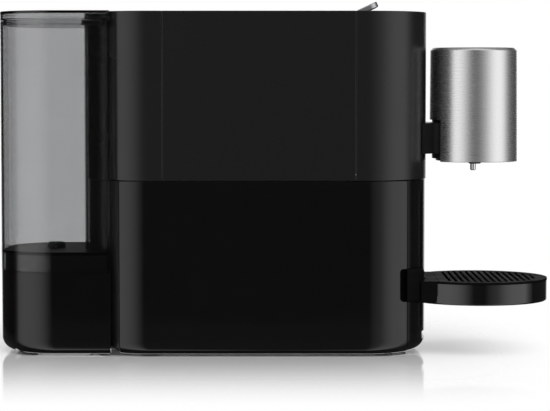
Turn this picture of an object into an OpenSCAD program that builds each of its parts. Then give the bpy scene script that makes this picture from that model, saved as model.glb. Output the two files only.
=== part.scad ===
// Pod coffee machine: a slim body with a lever-operated brew unit, a clear tank behind it
// and, in front, a round steel dispensing head above a height-adjustable cup tray.
// +Z is up, +Y points to the tank, -Y to the tray. The origin is on the floor, at the
// centre of the whole machine.

/* [Body] */
// Width of the body
body_w = 120; // [112:1:150]
// Height of the body, floor to top deck
body_h = 273; // [262:1:330]
// Body's front face, distance ahead of the origin
body_front = 122; // [118:1:126]
// Body's rear face, distance behind the origin
body_rear = 151; // [146:1:165]
// Radius of the body's upright corners
corner_r = 50; // [40:1:52]
// Radius of the bottom edge
foot_edge_r = 11; // [4:1:14]
// Thickness of the casing panels
wall = 3; // [2:0.5:4]
// Height of the seam between the lower and the upper casing
seam_z = 139; // [132:1:150]
// Gap at the casing's seams
seam_gap = 0.6; // [0.4:0.1:1]

/* [Casing seams] */
// Front end of the flat upper side panels
side_front = 64; // [56:1:70]
// Rear end of the flat upper side panels
side_rear = 89; // [80:1:95]
// Front end of the lower side panels
lower_front = 105.5; // [102:0.5:108]
// Rear end of the lower side panels
lower_rear = 123.5; // [116:0.5:128]

/* [Water tank] */
// Rear face of the tank
tank_rear = 222; // [205:1:240]
// Front end of the tank's two horns
tank_front = 130.5; // [127:0.5:134]
// Half of the tank's width is this much less than the body's
tank_inset = 2.4; // [1:0.2:4]
// Radius of the tank's rear corners
tank_r = 47; // [38:1:50]
// Wall of the tank
tank_wall = 2.2; // [1.6:0.2:3]
// Lower rim of the tank
tank_z = 66.8; // [56:0.2:76]
// Top of the tank's floor
tank_floor_z = 82.4; // [78:0.2:92]
// Distance of the tank's top rim below the deck
tank_rim_drop = 7.4; // [6:0.2:12]
// Gap between the tank and the body
tank_gap = 1; // [0.6:0.1:2]

/* [Dispensing head] */
// Distance of the head's axis ahead of the origin
head_y = 161.4; // [160:0.2:166]
// Radius of the head at its lower rim
head_r = 35.6; // [32:0.2:38]
// Lower rim of the head
head_z = 152.8; // [146:0.2:160]
// Height of the head
head_h = 91.9; // [84:0.1:104]
// Thickness of the head's steel shell
steel_t = 1.2; // [0.8:0.1:2]
// Underside of the arm
arm_z = 159.5; // [158:0.5:164]
// Height of the arm
arm_h = 24.7; // [20:0.1:28]
// Half width of the arm where it enters the head
arm_half_w = 20.5; // [14:0.5:21]

/* [Cup tray] */
// Distance of the tray's axis ahead of the origin
tray_y = 164.9; // [162:0.1:168]
// Radius of the tray
tray_r = 57.1; // [50:0.1:58]
// Underside of the tray
tray_z = 39.8; // [36:0.2:46]
// Height of the tray with its grid
tray_h = 18.5; // [16:0.5:24]
// Height of the collar that wraps the column
collar_h = 26.4; // [22:0.2:32]
// How far the collar stands off the column
collar_t = 5; // [4:0.5:6]
// How far back from the front the collar reaches
collar_wrap = 17; // [12:0.5:30]
// Pitch of the grid's slots
grid_pitch = 5; // [4:0.5:7]

/* [Capsule lever and brew unit] */
// Hinge axis of the lever, behind the origin
hinge_y = 30; // [26:1:34]
// Depth of the hinge axis below the deck's top
hinge_drop = 6; // [5.5:0.5:8]
// Half width of the lever's plate
lever_half_w = 24; // [22:0.5:26]
// Upward bend of the lever's tip, degrees
tip_bend = 25; // [15:1:30]
// Length of the bent tip
tip_len = 21.5; // [14:0.5:24]
// Radius of the lever's crank
crank_r = 28; // [26:0.5:29]
// Angle through which the lever opens, degrees
lever_swing = 70; // [60:1:72]
// Depth of the brew axis below the deck's top
brew_drop = 29; // [28:0.5:32]
// Diameter of a capsule's rim
capsule_d = 37; // [34:0.5:38]

/* [Used-capsule drawer] */
// Half width of the capsule bin
bin_half_w = 38; // [30:1:40]
// Height of the capsule bin
bin_h = 112; // [90:1:118]
// Rear end of the bin, behind the origin
bin_rear = 16; // [0:1:20]

/* [Hidden] */
$fn = 96;
eps = 0.01;
fit = 0.3;
run_fit = 0.05;
floor_gap = 0.8;

// Heights that follow the body
upper_z = seam_z + seam_gap / 2;
lower_top = seam_z - seam_gap / 2;
deck_t = 3;
deck_z = body_h - deck_t;
hinge_z = body_h - hinge_drop;
brew_z = body_h - brew_drop;
base_t = 3;
lip_top = floor_gap + wall;
base_z = lip_top + 0.1;
base_top = base_z + base_t;
side_x = body_w / 2;
inner_x = side_x - wall;

// Frame plates
frame_t = 3;
frame_x = side_x - 16;
frame_front = 58;
frame_rear = 118;
boss_r = 4;
boss_y = [-46, 70];
boss_z = [30, 112, seam_z + 16, body_h - 22];

// Lever and brew unit
pin_r = 2;
barrel_r = 5;
lever_t = 4.4;
lever_top = body_h - 0.4;
lever_flat_end = 62;
arm_plate_t = 3;
crank_x = lever_half_w + 4;
crank_pin_r = 2.5;
crank_slack = 0.6;
half_swing = lever_swing / 2;
piston_travel = 2 * crank_r * sin(half_swing);
crank_end_y = hinge_y + crank_r * sin(half_swing);
crank_pin_z = hinge_z - crank_r * cos(half_swing);
crank_low_z = hinge_z - crank_r;
bar_x = capsule_d / 2 + 5.5;
bar_t = 3;
bar_h = 22;
bar_z = brew_z - bar_h / 2;
bar_end_y = crank_end_y + 7;
piston_face = -8;
piston_t = 8;
chamber_len = 32;
slot_half_w = capsule_d / 2 + 1.5;
slot_front = piston_face - piston_travel + 0.8;
slot_rear = piston_face - 0.8;
pan_z = deck_z - 5.5;
pan_t = 2;
pan_front = -88;
pan_rear = 22;
brew_floor_z = brew_z - 28;
brew_floor_t = 3;

// Drawer and tray column
front_inset = 0.6;
front_floor = floor_gap + 0.4;
front_face = body_front - front_inset;
bin_front_y = -(lower_front + 0.3);
runner_h = 1.2;
bin_z = base_top + fit + runner_h;
bin_wall = 2;
slot_w = 10;
tongue_half = slot_w / 2 - fit;
collar_z = tray_z + 2.3;
tray_down = 28;
tray_up = 62;
grid_t = 1.6;
grid_z = tray_z + tray_h - grid_t;
chord_y = -(body_front + collar_t + 4);

// Head
head_top = head_z + head_h;
spindle_r = 2.3;
outlet_y = head_y + 1.4;
jet_y = outlet_y + 3.2;
jet_d = 2.4;

// Tank
tank_half_w = side_x - tank_inset;
tank_top = body_h - tank_rim_drop;
floor_t = 2.4;
lid_z = tank_top + fit;
lid_top = body_h + 0.4;
valve_y = 178.5;
plug_top = tank_floor_z - floor_t - 0.4;
dock_top = tank_z - fit;

// A rounded rectangle from y0 to y1, with all four corners rounded
module plan(half_w, y0, y1, r) {
    translate([-half_w, y0 + r]) square([2 * half_w, y1 - y0 - 2 * r]);
    translate([-half_w + r, y0]) square([2 * (half_w - r), y1 - y0]);
    for (x = [-half_w + r, half_w - r], y = [y0 + r, y1 - r])
        translate([x, y]) circle(r);
}

// A straight-walled slice of the body, drawn in by inset
module body_slab(inset, z0, z1) {
    translate([0, 0, z0]) linear_extrude(z1 - z0)
        plan(side_x - inset, -body_front + inset, body_rear - inset, corner_r - inset);
}

// The outline of a wall seen on end, whose bottom edge has radius e
module edge_profile(width, h, e) {
    translate([0, e]) square([width, h - e]);
    square([width - e, e + eps]);
    intersection() {
        translate([width - e, e]) circle(e);
        square([width, h]);
    }
}

// A rounded block standing on z0, with its bottom edge rounded by e
module footed_block(half_w, y0, y1, r, z0, z1, e) {
    h = z1 - z0;
    for (x = [-half_w + r, half_w - r], y = [y0 + r, y1 - r])
        translate([x, y, z0]) rotate_extrude() edge_profile(r, h, e);
    for (side = [0, 1]) mirror([side, 0, 0])
        translate([half_w - r, y1 - r, z0]) rotate([90, 0, 0])
            linear_extrude(y1 - y0 - 2 * r) edge_profile(r, h, e);
    for (end = [[y1 - r, 0], [y0 + r, 180]])
        translate([0, end[0], z0]) rotate([0, 0, end[1]]) translate([-(half_w - r), 0, 0])
            rotate([90, 0, 90]) linear_extrude(2 * (half_w - r)) edge_profile(r, h, e);
    translate([-half_w + r, y0 + r, z0]) cube([2 * (half_w - r), y1 - y0 - 2 * r, h]);
}

// The lower body as a solid, drawn in by inset
module lower_block(inset, z0, z1) {
    footed_block(side_x - inset, -body_front + inset, body_rear - inset, corner_r - inset,
        z0, z1, max(1, foot_edge_r - inset));
}

// Everything between two planes across the machine
module between_y(y0, y1) {
    translate([-200, y0, -10]) cube([400, y1 - y0, 400]);
}

// One half of the machine: side -1 is the left, 1 the right
module half_space(side) {
    translate([side > 0 ? 0 : -200, -300, -10]) cube([200, 600, 400]);
}

// A round tube wall
module ring(r_out, r_in, h) {
    difference() {
        cylinder(r = r_out, h = h);
        translate([0, 0, -1]) cylinder(r = r_in, h = h + 2);
    }
}

// Screw standing on its head, shank up
screw_d = 3;
screw_hole = screw_d + fit;
screw_head_h = 2;
module screw(length) {
    cylinder(d = 2 * screw_d, h = screw_head_h);
    cylinder(d = screw_d, h = length);
}

// Points of a smooth path through given corners, and the tube along it
function mid(a, b) = (a + b) / 2;
function bend(a, b, c, t) = (1 - t) * (1 - t) * mid(a, b) + 2 * t * (1 - t) * b + t * t * mid(b, c);
function smooth(p, steps = 6) = concat([p[0]],
    [for (i = [1 : len(p) - 2], s = [0 : steps]) bend(p[i - 1], p[i], p[i + 1], s / steps)],
    [p[len(p) - 1]]);
function unit(v) = v / norm(v);
function heading(p, i) = unit(p[min(i + 1, len(p) - 1)] - p[max(i - 1, 0)]);
function sideways(d) = unit(cross(d, abs(d[0]) < 0.8 ? [1, 0, 0] : [0, 0, 1]));

module tube(p, r, sides) {
    n = len(p);
    points = [for (i = [0 : n - 1], k = [0 : sides - 1])
        let (d = heading(p, i), u = sideways(d), v = cross(d, u), a = 360 * k / sides)
        p[i] + r * cos(a) * u + r * sin(a) * v];
    faces = concat(
        [[for (k = [0 : sides - 1]) k]],
        [[for (k = [sides - 1 : -1 : 0]) (n - 1) * sides + k]],
        [for (i = [0 : n - 2], k = [0 : sides - 1])
            let (a = i * sides + k, b = i * sides + (k + 1) % sides)
            [a, a + sides, b + sides]],
        [for (i = [0 : n - 2], k = [0 : sides - 1])
            let (a = i * sides + k, b = i * sides + (k + 1) % sides)
            [a, b + sides, b]]);
    polyhedron(points, faces);
}
module hose(route, r) {
    tube(smooth(route), r, 8);
}

// ---- Chassis ----

module base_plate() {
    color("dimgray") difference() {
        intersection() {
            lower_block(wall + fit, base_z, lower_top);
            translate([0, 0, base_z]) linear_extrude(base_t)
                translate([-side_x, bin_front_y + 1]) square([body_w, body_rear - bin_front_y]);
        }
        for (x = [-frame_x - frame_t / 2, frame_x + frame_t / 2], y = boss_y)
            translate([x, y, 0]) cylinder(d = screw_hole, h = 20);
    }
}

foot_d = 14;
body_foot_x = 38;
dock_foot_x = 30;
foot_spots = [
    for (side = [-1, 1]) each [
        [side * body_foot_x, -88], [side * body_foot_x, 100], [side * dock_foot_x, tank_rear - 24]
    ]
];
module feet() {
    color("black") for (p = foot_spots) translate([p[0], p[1], 0]) {
        cylinder(d1 = foot_d - 2, d2 = foot_d, h = 1);
        translate([0, 0, 1]) cylinder(d = foot_d, h = base_z - 1);
    }
}

module base_screws() {
    color("silver") for (x = [-frame_x - frame_t / 2, frame_x + frame_t / 2], y = boss_y)
        translate([x, y, base_z - screw_head_h]) screw(13);
}

// Ears folded in at the frame's front edge, which hold the arm's plate
ear_w = 7;
ear_z = 150;
ear_h = 46;
ear_screw_z = [ear_z + ear_w, ear_z + ear_h - ear_w];

// A frame plate on the right; the left one is its mirror image
module frame_plate() {
    difference() {
        union() {
            translate([frame_x, -frame_front, base_top])
                cube([frame_t, frame_front + frame_rear, deck_z - base_top]);
            for (y = boss_y) translate([frame_x - 3.5, y - 5, base_top]) cube([10, 10, 10]);
            translate([frame_x - ear_w, -frame_front, ear_z]) cube([ear_w + frame_t, 4, ear_h]);
        }
        for (y = boss_y) translate([frame_x + frame_t / 2, y, base_top - 1]) cylinder(d = screw_hole, h = 10);
        for (z = ear_screw_z) translate([frame_x - 3, -frame_front - 1, z]) rotate([-90, 0, 0])
            cylinder(d = screw_hole, h = 8);
        translate([frame_x - 1, hinge_y, hinge_z]) rotate([0, 90, 0])
            cylinder(r = pin_r + run_fit, h = frame_t + 2);
        for (y = [-14, 92]) translate([frame_x - 1, y - 16, 60]) cube([frame_t + 2, 32, 36]);
    }
}
module frame_right() { color("gray") frame_plate(); }
module frame_left() { color("gray") mirror([1, 0, 0]) frame_plate(); }

// ---- Casing ----

module lower_panel(side) {
    difference() {
        intersection() {
            lower_block(0, floor_gap, lower_top);
            between_y(-lower_front, lower_rear);
            half_space(side);
        }
        lower_block(wall, lip_top, lower_top + 20);
        translate([-side_x + foot_edge_r, -200, -1]) cube([2 * (side_x - foot_edge_r), 400, 40]);
    }
    for (y = boss_y, z = [boss_z[0], boss_z[1]])
        translate([side > 0 ? frame_x + frame_t : -inner_x, y, z]) rotate([0, 90, 0])
            cylinder(r = boss_r, h = inner_x - frame_x - frame_t);
}
module lower_panel_left() { color([0.03, 0.03, 0.03]) lower_panel(-1); }
module lower_panel_right() { color([0.03, 0.03, 0.03]) lower_panel(1); }

module rear_panel() {
    color([0.06, 0.06, 0.06]) difference() {
        intersection() {
            lower_block(1, floor_gap, lower_top);
            between_y(lower_rear + fit, body_rear);
        }
        lower_block(wall, lip_top, lower_top + 20);
        translate([-side_x + foot_edge_r, 0, -1])
            cube([2 * (side_x - foot_edge_r), body_rear - foot_edge_r, 8]);
        translate([0, body_rear - 10, 40]) rotate([-90, 0, 0]) cylinder(d = 12, h = 20);
    }
}

module upper_side(side) {
    x0 = side > 0 ? inner_x : -side_x;
    difference() {
        translate([x0, -side_front + fit, upper_z])
            cube([wall, side_front + side_rear - 2 * fit, body_h - upper_z]);
        for (y = [-side_front, side_rear])
            translate([side * side_x, y, upper_z - 1]) rotate([0, 0, 45]) translate([-0.4, -0.4, 0])
                cube([0.8, 0.8, body_h]);
    }
    for (y = boss_y, z = [boss_z[2], boss_z[3]])
        translate([side > 0 ? frame_x + frame_t : -inner_x, y, z]) rotate([0, 90, 0])
            cylinder(r = boss_r, h = inner_x - frame_x - frame_t);
}
module upper_side_left() { color([0.12, 0.12, 0.12]) upper_side(-1); }
module upper_side_right() { color([0.12, 0.12, 0.12]) upper_side(1); }

module end_cover(y0, y1) {
    difference() {
        intersection() {
            body_slab(0, upper_z, body_h);
            between_y(y0, y1);
        }
        body_slab(wall, upper_z - 1, body_h + 1);
    }
}
tongue_half_w = 17;
tongue_h = 18;
module upper_front_cover() {
    color([0.12, 0.12, 0.12]) difference() {
        end_cover(-body_front - 1, -side_front);
        translate([-tongue_half_w - fit, -body_front - 5, arm_z + (arm_h - tongue_h) / 2 - fit])
            cube([2 * (tongue_half_w + fit), 15, tongue_h + 2 * fit]);
    }
}
module upper_rear_cover() { color([0.12, 0.12, 0.12]) end_cover(side_rear, body_rear + 1); }

barrel_half = crank_x + arm_plate_t + 0.5;
module top_deck() {
    color([0.1, 0.1, 0.1]) difference() {
        body_slab(wall + fit, deck_z, body_h);
        translate([-lever_half_w - 1, pan_front, deck_z - 1])
            cube([2 * (lever_half_w + 1), hinge_y - pan_front, deck_t + 2]);
        translate([-barrel_half - 1, hinge_y - 6.5, deck_z - 1])
            cube([2 * (barrel_half + 1), 13, deck_t + 2]);
    }
}

// ---- Lever and brew unit ----

module capsule_chute() {
    color([0.15, 0.15, 0.15]) {
        difference() {
            translate([-lever_half_w - 3, pan_front, pan_z])
                cube([2 * (lever_half_w + 3), pan_rear - pan_front, pan_t]);
            translate([-slot_half_w, slot_front, pan_z - 1])
                cube([2 * slot_half_w, slot_rear - slot_front, pan_t + 2]);
        }
        for (x = [-lever_half_w - 3, lever_half_w + 1])
            translate([x, pan_front, pan_z + pan_t])
                cube([2, pan_rear - pan_front, deck_z - pan_z - pan_t]);
    }
}

module capsule_lever() {
    tip_y = -lever_flat_end - tip_len * cos(tip_bend);
    tip_z = lever_top + tip_len * sin(tip_bend);
    under = lever_top - lever_t;
    under_bend = -lever_flat_end - lever_t * tan(tip_bend / 2);
    profile = [
        [hinge_y - 2, lever_top], [-lever_flat_end, lever_top], [tip_y, tip_z],
        [tip_y - lever_t * sin(tip_bend), tip_z - lever_t * cos(tip_bend)],
        [under_bend, under], [hinge_y - 2, under]
    ];
    color([0.55, 0.55, 0.55]) difference() {
        union() {
            translate([-lever_half_w, 0, 0]) rotate([90, 0, 90]) linear_extrude(2 * lever_half_w)
                polygon(profile);
            translate([-barrel_half, hinge_y, hinge_z]) rotate([0, 90, 0])
                cylinder(r = barrel_r, h = 2 * barrel_half);
            for (x = [-crank_x - arm_plate_t, crank_x])
                translate([x, hinge_y, hinge_z]) rotate([half_swing, 0, 0]) {
                    translate([0, -3.5, -crank_r]) cube([arm_plate_t, 7, crank_r - barrel_r / 2]);
                    translate([0, 0, -crank_r]) rotate([0, 90, 0]) cylinder(r = 4.2, h = arm_plate_t);
                }
            for (x = [-crank_x - eps, bar_x - 0.5])
                translate([x, crank_end_y, crank_pin_z]) rotate([0, 90, 0])
                    cylinder(r = crank_pin_r, h = crank_x - bar_x + 0.5 + eps);
        }
        translate([-barrel_half - 1, hinge_y, hinge_z]) rotate([0, 90, 0])
            cylinder(r = pin_r + run_fit, h = 2 * barrel_half + 2);
    }
}

module lever_pin() {
    color("silver") translate([-frame_x - frame_t, hinge_y, hinge_z]) rotate([0, 90, 0])
        cylinder(r = pin_r, h = 2 * (frame_x + frame_t));
}

shelf_rear = 112;
rail_front = -66;
module brew_frame() {
    color([0.3, 0.3, 0.3]) difference() {
        union() {
            translate([-frame_x, -74, brew_floor_z]) cube([2 * frame_x, 74 + shelf_rear, brew_floor_t]);
            for (side = [-1, 1]) {
                translate([side * (bar_x + bar_t / 2) - 2.5, rail_front, brew_floor_z + brew_floor_t])
                    cube([5, 20 - rail_front, bar_z - fit - brew_floor_z - brew_floor_t]);
                translate([side * (bar_x + bar_t + fit + 1) - 1, rail_front, brew_floor_z + brew_floor_t])
                    cube([2, 4 - rail_front, bar_z + 14 - brew_floor_z - brew_floor_t]);
            }
            translate([-16, 2, brew_floor_z + brew_floor_t]) cube([32, 20, 8]);
            for (x = [-24, 18], y = [64, 98])
                translate([x, y, brew_floor_z + brew_floor_t]) cube([6, 6, 3]);
        }
        translate([-capsule_d / 2 - 2, piston_face - piston_travel - piston_t, brew_floor_z - 1])
            cube([capsule_d + 4, piston_travel + piston_t, brew_floor_t + 2]);
        translate([0, 0, brew_z]) rotate([-90, 0, 0]) cylinder(d = capsule_d + 3.4, h = 60);
        translate([36, 56, brew_floor_z - 1]) cylinder(d = 9, h = 5);
    }
}

module brew_chamber() {
    color([0.75, 0.68, 0.4]) translate([0, piston_face + fit, brew_z]) rotate([-90, 0, 0]) difference() {
        cylinder(d = capsule_d + 3, h = chamber_len);
        translate([0, 0, -1]) cylinder(d = capsule_d - 6, h = chamber_len - 4);
        cylinder(d = 3, h = chamber_len + 1);
        translate([0, 0, -1]) cylinder(d = capsule_d - 1.8, h = 3);
    }
}

module chamber_seal() {
    color("black") translate([0, piston_face + fit + 0.2, brew_z]) rotate([-90, 0, 0])
        ring(capsule_d / 2 - 1, capsule_d / 2 - 3, 1.8);
}

module brew_piston() {
    color([0.2, 0.2, 0.2]) {
        difference() {
            union() {
                translate([0, piston_face - piston_t, brew_z]) rotate([-90, 0, 0])
                    cylinder(d = capsule_d + 1, h = piston_t - 2);
                translate([-bar_x - bar_t, piston_face - piston_t, brew_z - 8])
                    cube([2 * (bar_x + bar_t), piston_t - 2, 16]);
            }
            translate([0, piston_face - piston_t - 1, brew_z]) rotate([-90, 0, 0]) cylinder(d = 4, h = 20);
        }
        for (x = [-bar_x - bar_t, bar_x]) difference() {
            translate([x, piston_face - piston_t, bar_z])
                cube([bar_t, bar_end_y - piston_face + piston_t, bar_h]);
            translate([x - 1, crank_end_y - crank_pin_r - crank_slack,
                       crank_low_z - crank_pin_r - crank_slack])
                cube([bar_t + 2, 2 * (crank_pin_r + crank_slack),
                    crank_pin_z - crank_low_z + 2 * (crank_pin_r + crank_slack)]);
        }
    }
}

module piercing_plate() {
    color("silver") translate([0, piston_face - 2, brew_z]) rotate([-90, 0, 0]) difference() {
        cylinder(d = capsule_d - 5, h = 1.2);
        for (a = [0 : 60 : 300], r = [5, 11])
            rotate([0, 0, a + r]) translate([r, 0, -1]) cylinder(d = 1.6, h = 4);
    }
}

module drop_chute() {
    chute_x = capsule_d / 2 + 2;
    y0 = piston_face - piston_travel - piston_t;
    z0 = bin_z + bin_h + 4;
    color([0.15, 0.15, 0.15]) difference() {
        translate([-chute_x - 2, y0 - 2, z0])
            cube([2 * chute_x + 4, piston_travel + piston_t + 4, brew_floor_z - z0]);
        translate([-chute_x, y0, z0 - 1])
            cube([2 * chute_x, piston_travel + piston_t, brew_floor_z - z0 + 2]);
    }
}

// ---- Used-capsule drawer, with the column that carries the tray ----

slider_z = collar_z + 4;
slider_h = tray_z + tray_h - slider_z - 0.2;
notch_z = 10.5;
notch_h = 6;
notch_half_w = 27;
notch_depth = 1.7;
rib_x = 30;
module bin_front() {
    color([0.03, 0.03, 0.03]) {
        difference() {
            intersection() {
                lower_block(front_inset, front_floor, lower_top);
                between_y(-body_front, bin_front_y);
            }
            front_cavity();
            translate([-slot_w / 2, -body_front - 1, slider_z - tray_down - 1])
                cube([slot_w, wall + 4, slider_h + tray_down + tray_up + 2]);
            difference() {
                translate([-notch_half_w, -body_front - 1, notch_z])
                    cube([2 * notch_half_w, corner_r / 2, notch_h]);
                lower_block(front_inset + notch_depth, front_floor, lower_top);
            }
        }
        for (x = [-rib_x - 2, rib_x]) intersection() {
            translate([x, -body_front, 20]) cube([2, body_front - (lower_front + 2.5), 110]);
            body_slab(front_inset + wall / 2, 0, body_h);
        }
    }
}

// The space inside the drawer's front
module front_cavity() {
    lower_block(front_inset + wall, front_floor + wall, lower_top + 20);
}

bin_front_wall = -(lower_front + 2.5);
module capsule_bin() {
    length = bin_rear - bin_front_wall;
    color([0.2, 0.2, 0.2]) intersection() {
        front_cavity();
        capsule_box(length);
    }
}
module capsule_box(length) {
    union() {
        difference() {
            translate([-bin_half_w, bin_front_wall, bin_z]) cube([2 * bin_half_w, length, bin_h]);
            translate([-bin_half_w + bin_wall, bin_front_wall + bin_wall, bin_z + bin_wall])
                cube([2 * (bin_half_w - bin_wall), length - 2 * bin_wall, bin_h]);
        }
        for (x = [-bin_half_w + 2, bin_half_w - 8])
            translate([x, bin_front_y + 4, bin_z - runner_h]) cube([6, length - 8, runner_h]);
    }
}

rail_face = -front_face + wall + 2 * fit + 2.8;
module tray_rail() {
    color("gray") {
        translate([-14, rail_face, 12]) cube([28, 3, 120]);
        translate([-8, rail_face + 3, 12]) cube([16, bin_front_wall - rail_face - 3, 120]);
    }
}

// The collar: a band around the column, rounded along its upper and lower edges
module collar(inset, edge) {
    intersection() {
        collar_block(inset, edge);
        between_y(-body_front - collar_t - 1, -body_front + collar_wrap);
    }
}
module collar_block(inset, edge) {
    footed_block(side_x - inset, -body_front + inset, body_rear - inset, corner_r - inset,
        collar_z, collar_z + collar_h / 2, edge);
    translate([0, 0, 2 * collar_z + collar_h]) mirror([0, 0, 1])
        footed_block(side_x - inset, -body_front + inset, body_rear - inset, corner_r - inset,
            collar_z, collar_z + collar_h / 2, edge);
}

module tray_carrier() {
    neck_half = tray_r * 0.78;
    color([0.03, 0.03, 0.03]) difference() {
        union() {
            collar(-collar_t, 3);
            translate([0, -tray_y, tray_z]) cylinder(r1 = tray_r - 1.2, r2 = tray_r, h = 1.2);
            translate([0, -tray_y, tray_z + 1.2]) cylinder(r = tray_r, h = grid_z - fit - tray_z - 1.2);
            translate([-neck_half, chord_y + fit, collar_z])
                cube([2 * neck_half, 14, grid_z + grid_t - collar_z]);
        }
        body_slab(-0.4, 0, body_h);
        translate([-100, -body_front - collar_t - 1, tray_z + tray_h])
            cube([200, collar_t + 4, collar_h]);
        intersection() {
            translate([0, -tray_y, tray_z + 2.5]) cylinder(r = tray_r - 2.5, h = 40);
            between_y(-300, chord_y);
        }
    }
}

module tray_slider() {
    color("gray") {
        translate([-tongue_half, -body_front - 0.4, slider_z])
            cube([2 * tongue_half, body_front + 0.4 - front_face + wall + fit, slider_h]);
        translate([-9, -front_face + wall + fit, slider_z]) cube([18, 2.8, slider_h]);
    }
}

module drip_grid() {
    slots = floor((tray_r - 12) / grid_pitch);
    color([0.05, 0.05, 0.05]) difference() {
        intersection() {
            union() {
                translate([0, -tray_y, grid_z]) cylinder(r = tray_r, h = grid_t);
                translate([0, -tray_y, grid_z - 4]) cylinder(r = tray_r - 3, h = 4);
            }
            translate([-200, -300, 0]) cube([400, 300 + chord_y, 200]);
        }
        translate([0, -tray_y, grid_z - 5]) cylinder(r = tray_r - 4.5, h = 5);
        for (i = [-slots : slots]) {
            half = sqrt(pow(tray_r - 8, 2) - pow(i * grid_pitch, 2));
            if (-tray_y + i * grid_pitch < chord_y - 6)
                translate([-half, -tray_y + i * grid_pitch - 1.2, grid_z - 1])
                    cube([2 * half, 2.4, grid_t + 2]);
        }
    }
}

// ---- Dispensing head ----

bore_x = 10;
arm_end = 146;
module head_arm() {
    flare = arm_half_w + 11;
    mid_z = arm_z + arm_h / 2;
    outline = [
        [-flare, -body_front + 14], [-flare, -body_front + 4], [-arm_half_w - 2, -body_front - 5],
        [-arm_half_w, -body_front - 12], [-arm_half_w, -arm_end], [arm_half_w, -arm_end],
        [arm_half_w, -body_front - 12], [arm_half_w + 2, -body_front - 5],
        [flare, -body_front + 4], [flare, -body_front + 14]
    ];
    color([0.08, 0.08, 0.08]) difference() {
        union() {
            difference() {
                translate([0, 0, arm_z]) linear_extrude(arm_h) polygon(outline);
                body_slab(-fit, 0, body_h);
            }
            translate([-tongue_half_w, -body_front - 2, mid_z - tongue_h / 2])
                cube([2 * tongue_half_w, body_front + 2 - frame_front - 3, tongue_h]);
            translate([-frame_x - frame_t, -frame_front - 3, ear_z])
                cube([2 * (frame_x + frame_t), 3, ear_h]);
        }
        translate([bore_x, -200, mid_z]) rotate([-90, 0, 0]) cylinder(d = 8, h = 200);
        translate([-bore_x, -200, mid_z]) rotate([-90, 0, 0]) cylinder(d = 8, h = 200);
        translate([bore_x - 4, -86, mid_z]) cube([8, 20, tongue_h]);
        for (x = [-frame_x + 3, frame_x - 3], z = ear_screw_z)
            translate([x, -frame_front - 5, z]) rotate([-90, 0, 0]) cylinder(d = screw_hole, h = 10);
    }
}

module arm_screws() {
    color("silver") for (x = [-frame_x + 3, frame_x - 3], z = ear_screw_z)
        translate([x, -frame_front - 5, z]) rotate([-90, 0, 0]) screw(10);
}

rim_t = 2.6;
rim_r = head_r - 4.6;
core_r = head_r - 0.6 - steel_t - 0.3;
core_z = head_z + 2.4;
core_top = head_top - rim_t;
notch_half = arm_half_w + 1;
module head_shell() {
    taper = 0.6;
    chamfer = 2.4;
    profile = [
        [0, 0], [head_r, 0], [head_r - taper, head_h - chamfer],
        [head_r - taper - chamfer, head_h], [0, head_h]
    ];
    color("silver") difference() {
        translate([0, -head_y, head_z]) rotate_extrude() polygon(profile);
        translate([0, -head_y, head_z - 1]) cylinder(r = core_r + 0.3, h = head_h - rim_t + 1);
        translate([0, -head_y, head_z]) cylinder(r = rim_r, h = head_h + 1);
        translate([-notch_half, -head_y, head_z - 1])
            cube([2 * notch_half, head_r + 1, arm_z + arm_h + 2.3 - head_z + 1]);
    }
}

module head_core() {
    color([0.08, 0.08, 0.08]) difference() {
        union() {
            translate([0, -head_y, core_z]) ring(core_r, core_r - 2, core_top - core_z);
            translate([0, -head_y, core_z]) cylinder(r = core_r - 1, h = 2.5);
            translate([0, -head_y, core_top - 2]) cylinder(r = core_r - 1, h = 2);
            translate([-16, -arm_end - 1, core_z + 2]) cube([32, 14, arm_z - fit - core_z - 2]);
        }
        translate([-arm_half_w - fit, -head_y + 12, arm_z - fit])
            cube([2 * (arm_half_w + fit), 40, arm_h + 2 * fit]);
        translate([0, -head_y, core_z - 1]) cylinder(r = spindle_r + 0.5, h = 5);
        translate([0, -jet_y, core_z - 1]) cylinder(d = jet_d, h = 5);
    }
}

module head_base() {
    color([0.08, 0.08, 0.08]) difference() {
        translate([0, -head_y, head_z + 0.6]) cylinder(r = core_r - 3, h = core_z - head_z - 0.6);
        translate([0, -head_y, head_z - 1]) cylinder(r = spindle_r + 0.5, h = 8);
        translate([0, -jet_y, head_z - 1]) cylinder(d = jet_d, h = 8);
    }
}

module head_cap() {
    color([0.02, 0.02, 0.02]) translate([0, -head_y, core_top]) {
        cylinder(r = rim_r - fit, h = rim_t - 0.9);
        translate([0, 0, rim_t - 0.9]) cylinder(r1 = rim_r - fit, r2 = rim_r - fit - 0.6, h = 0.6);
    }
}

motor_z = core_z + 9;
module whisk_motor() {
    color("dimgray") difference() {
        union() {
            translate([0, -head_y, motor_z]) cylinder(r = 13, h = 36);
            for (a = [60, 180, 300]) rotate_about_head(a) translate([10, 0, core_z + 2.5])
                cylinder(d = 4, h = motor_z - core_z - 2);
        }
        translate([0, -head_y, motor_z - 1]) cylinder(r = spindle_r + run_fit, h = 13);
    }
}
module rotate_about_head(a) {
    translate([0, -head_y, 0]) rotate([0, 0, a]) children();
}

spindle_drop = 7.5;
module whisk_spindle() {
    color("silver") difference() {
        translate([0, -head_y, head_z - spindle_drop]) {
            cylinder(r1 = spindle_r - 0.5, r2 = spindle_r, h = 0.8);
            translate([0, 0, 0.8]) cylinder(r = spindle_r, h = motor_z + 11 - head_z + spindle_drop - 0.8);
        }
        translate([spindle_r - 0.7, -head_y - 3, head_z - spindle_drop - 1]) cube([3, 6, 5]);
    }
}

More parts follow.
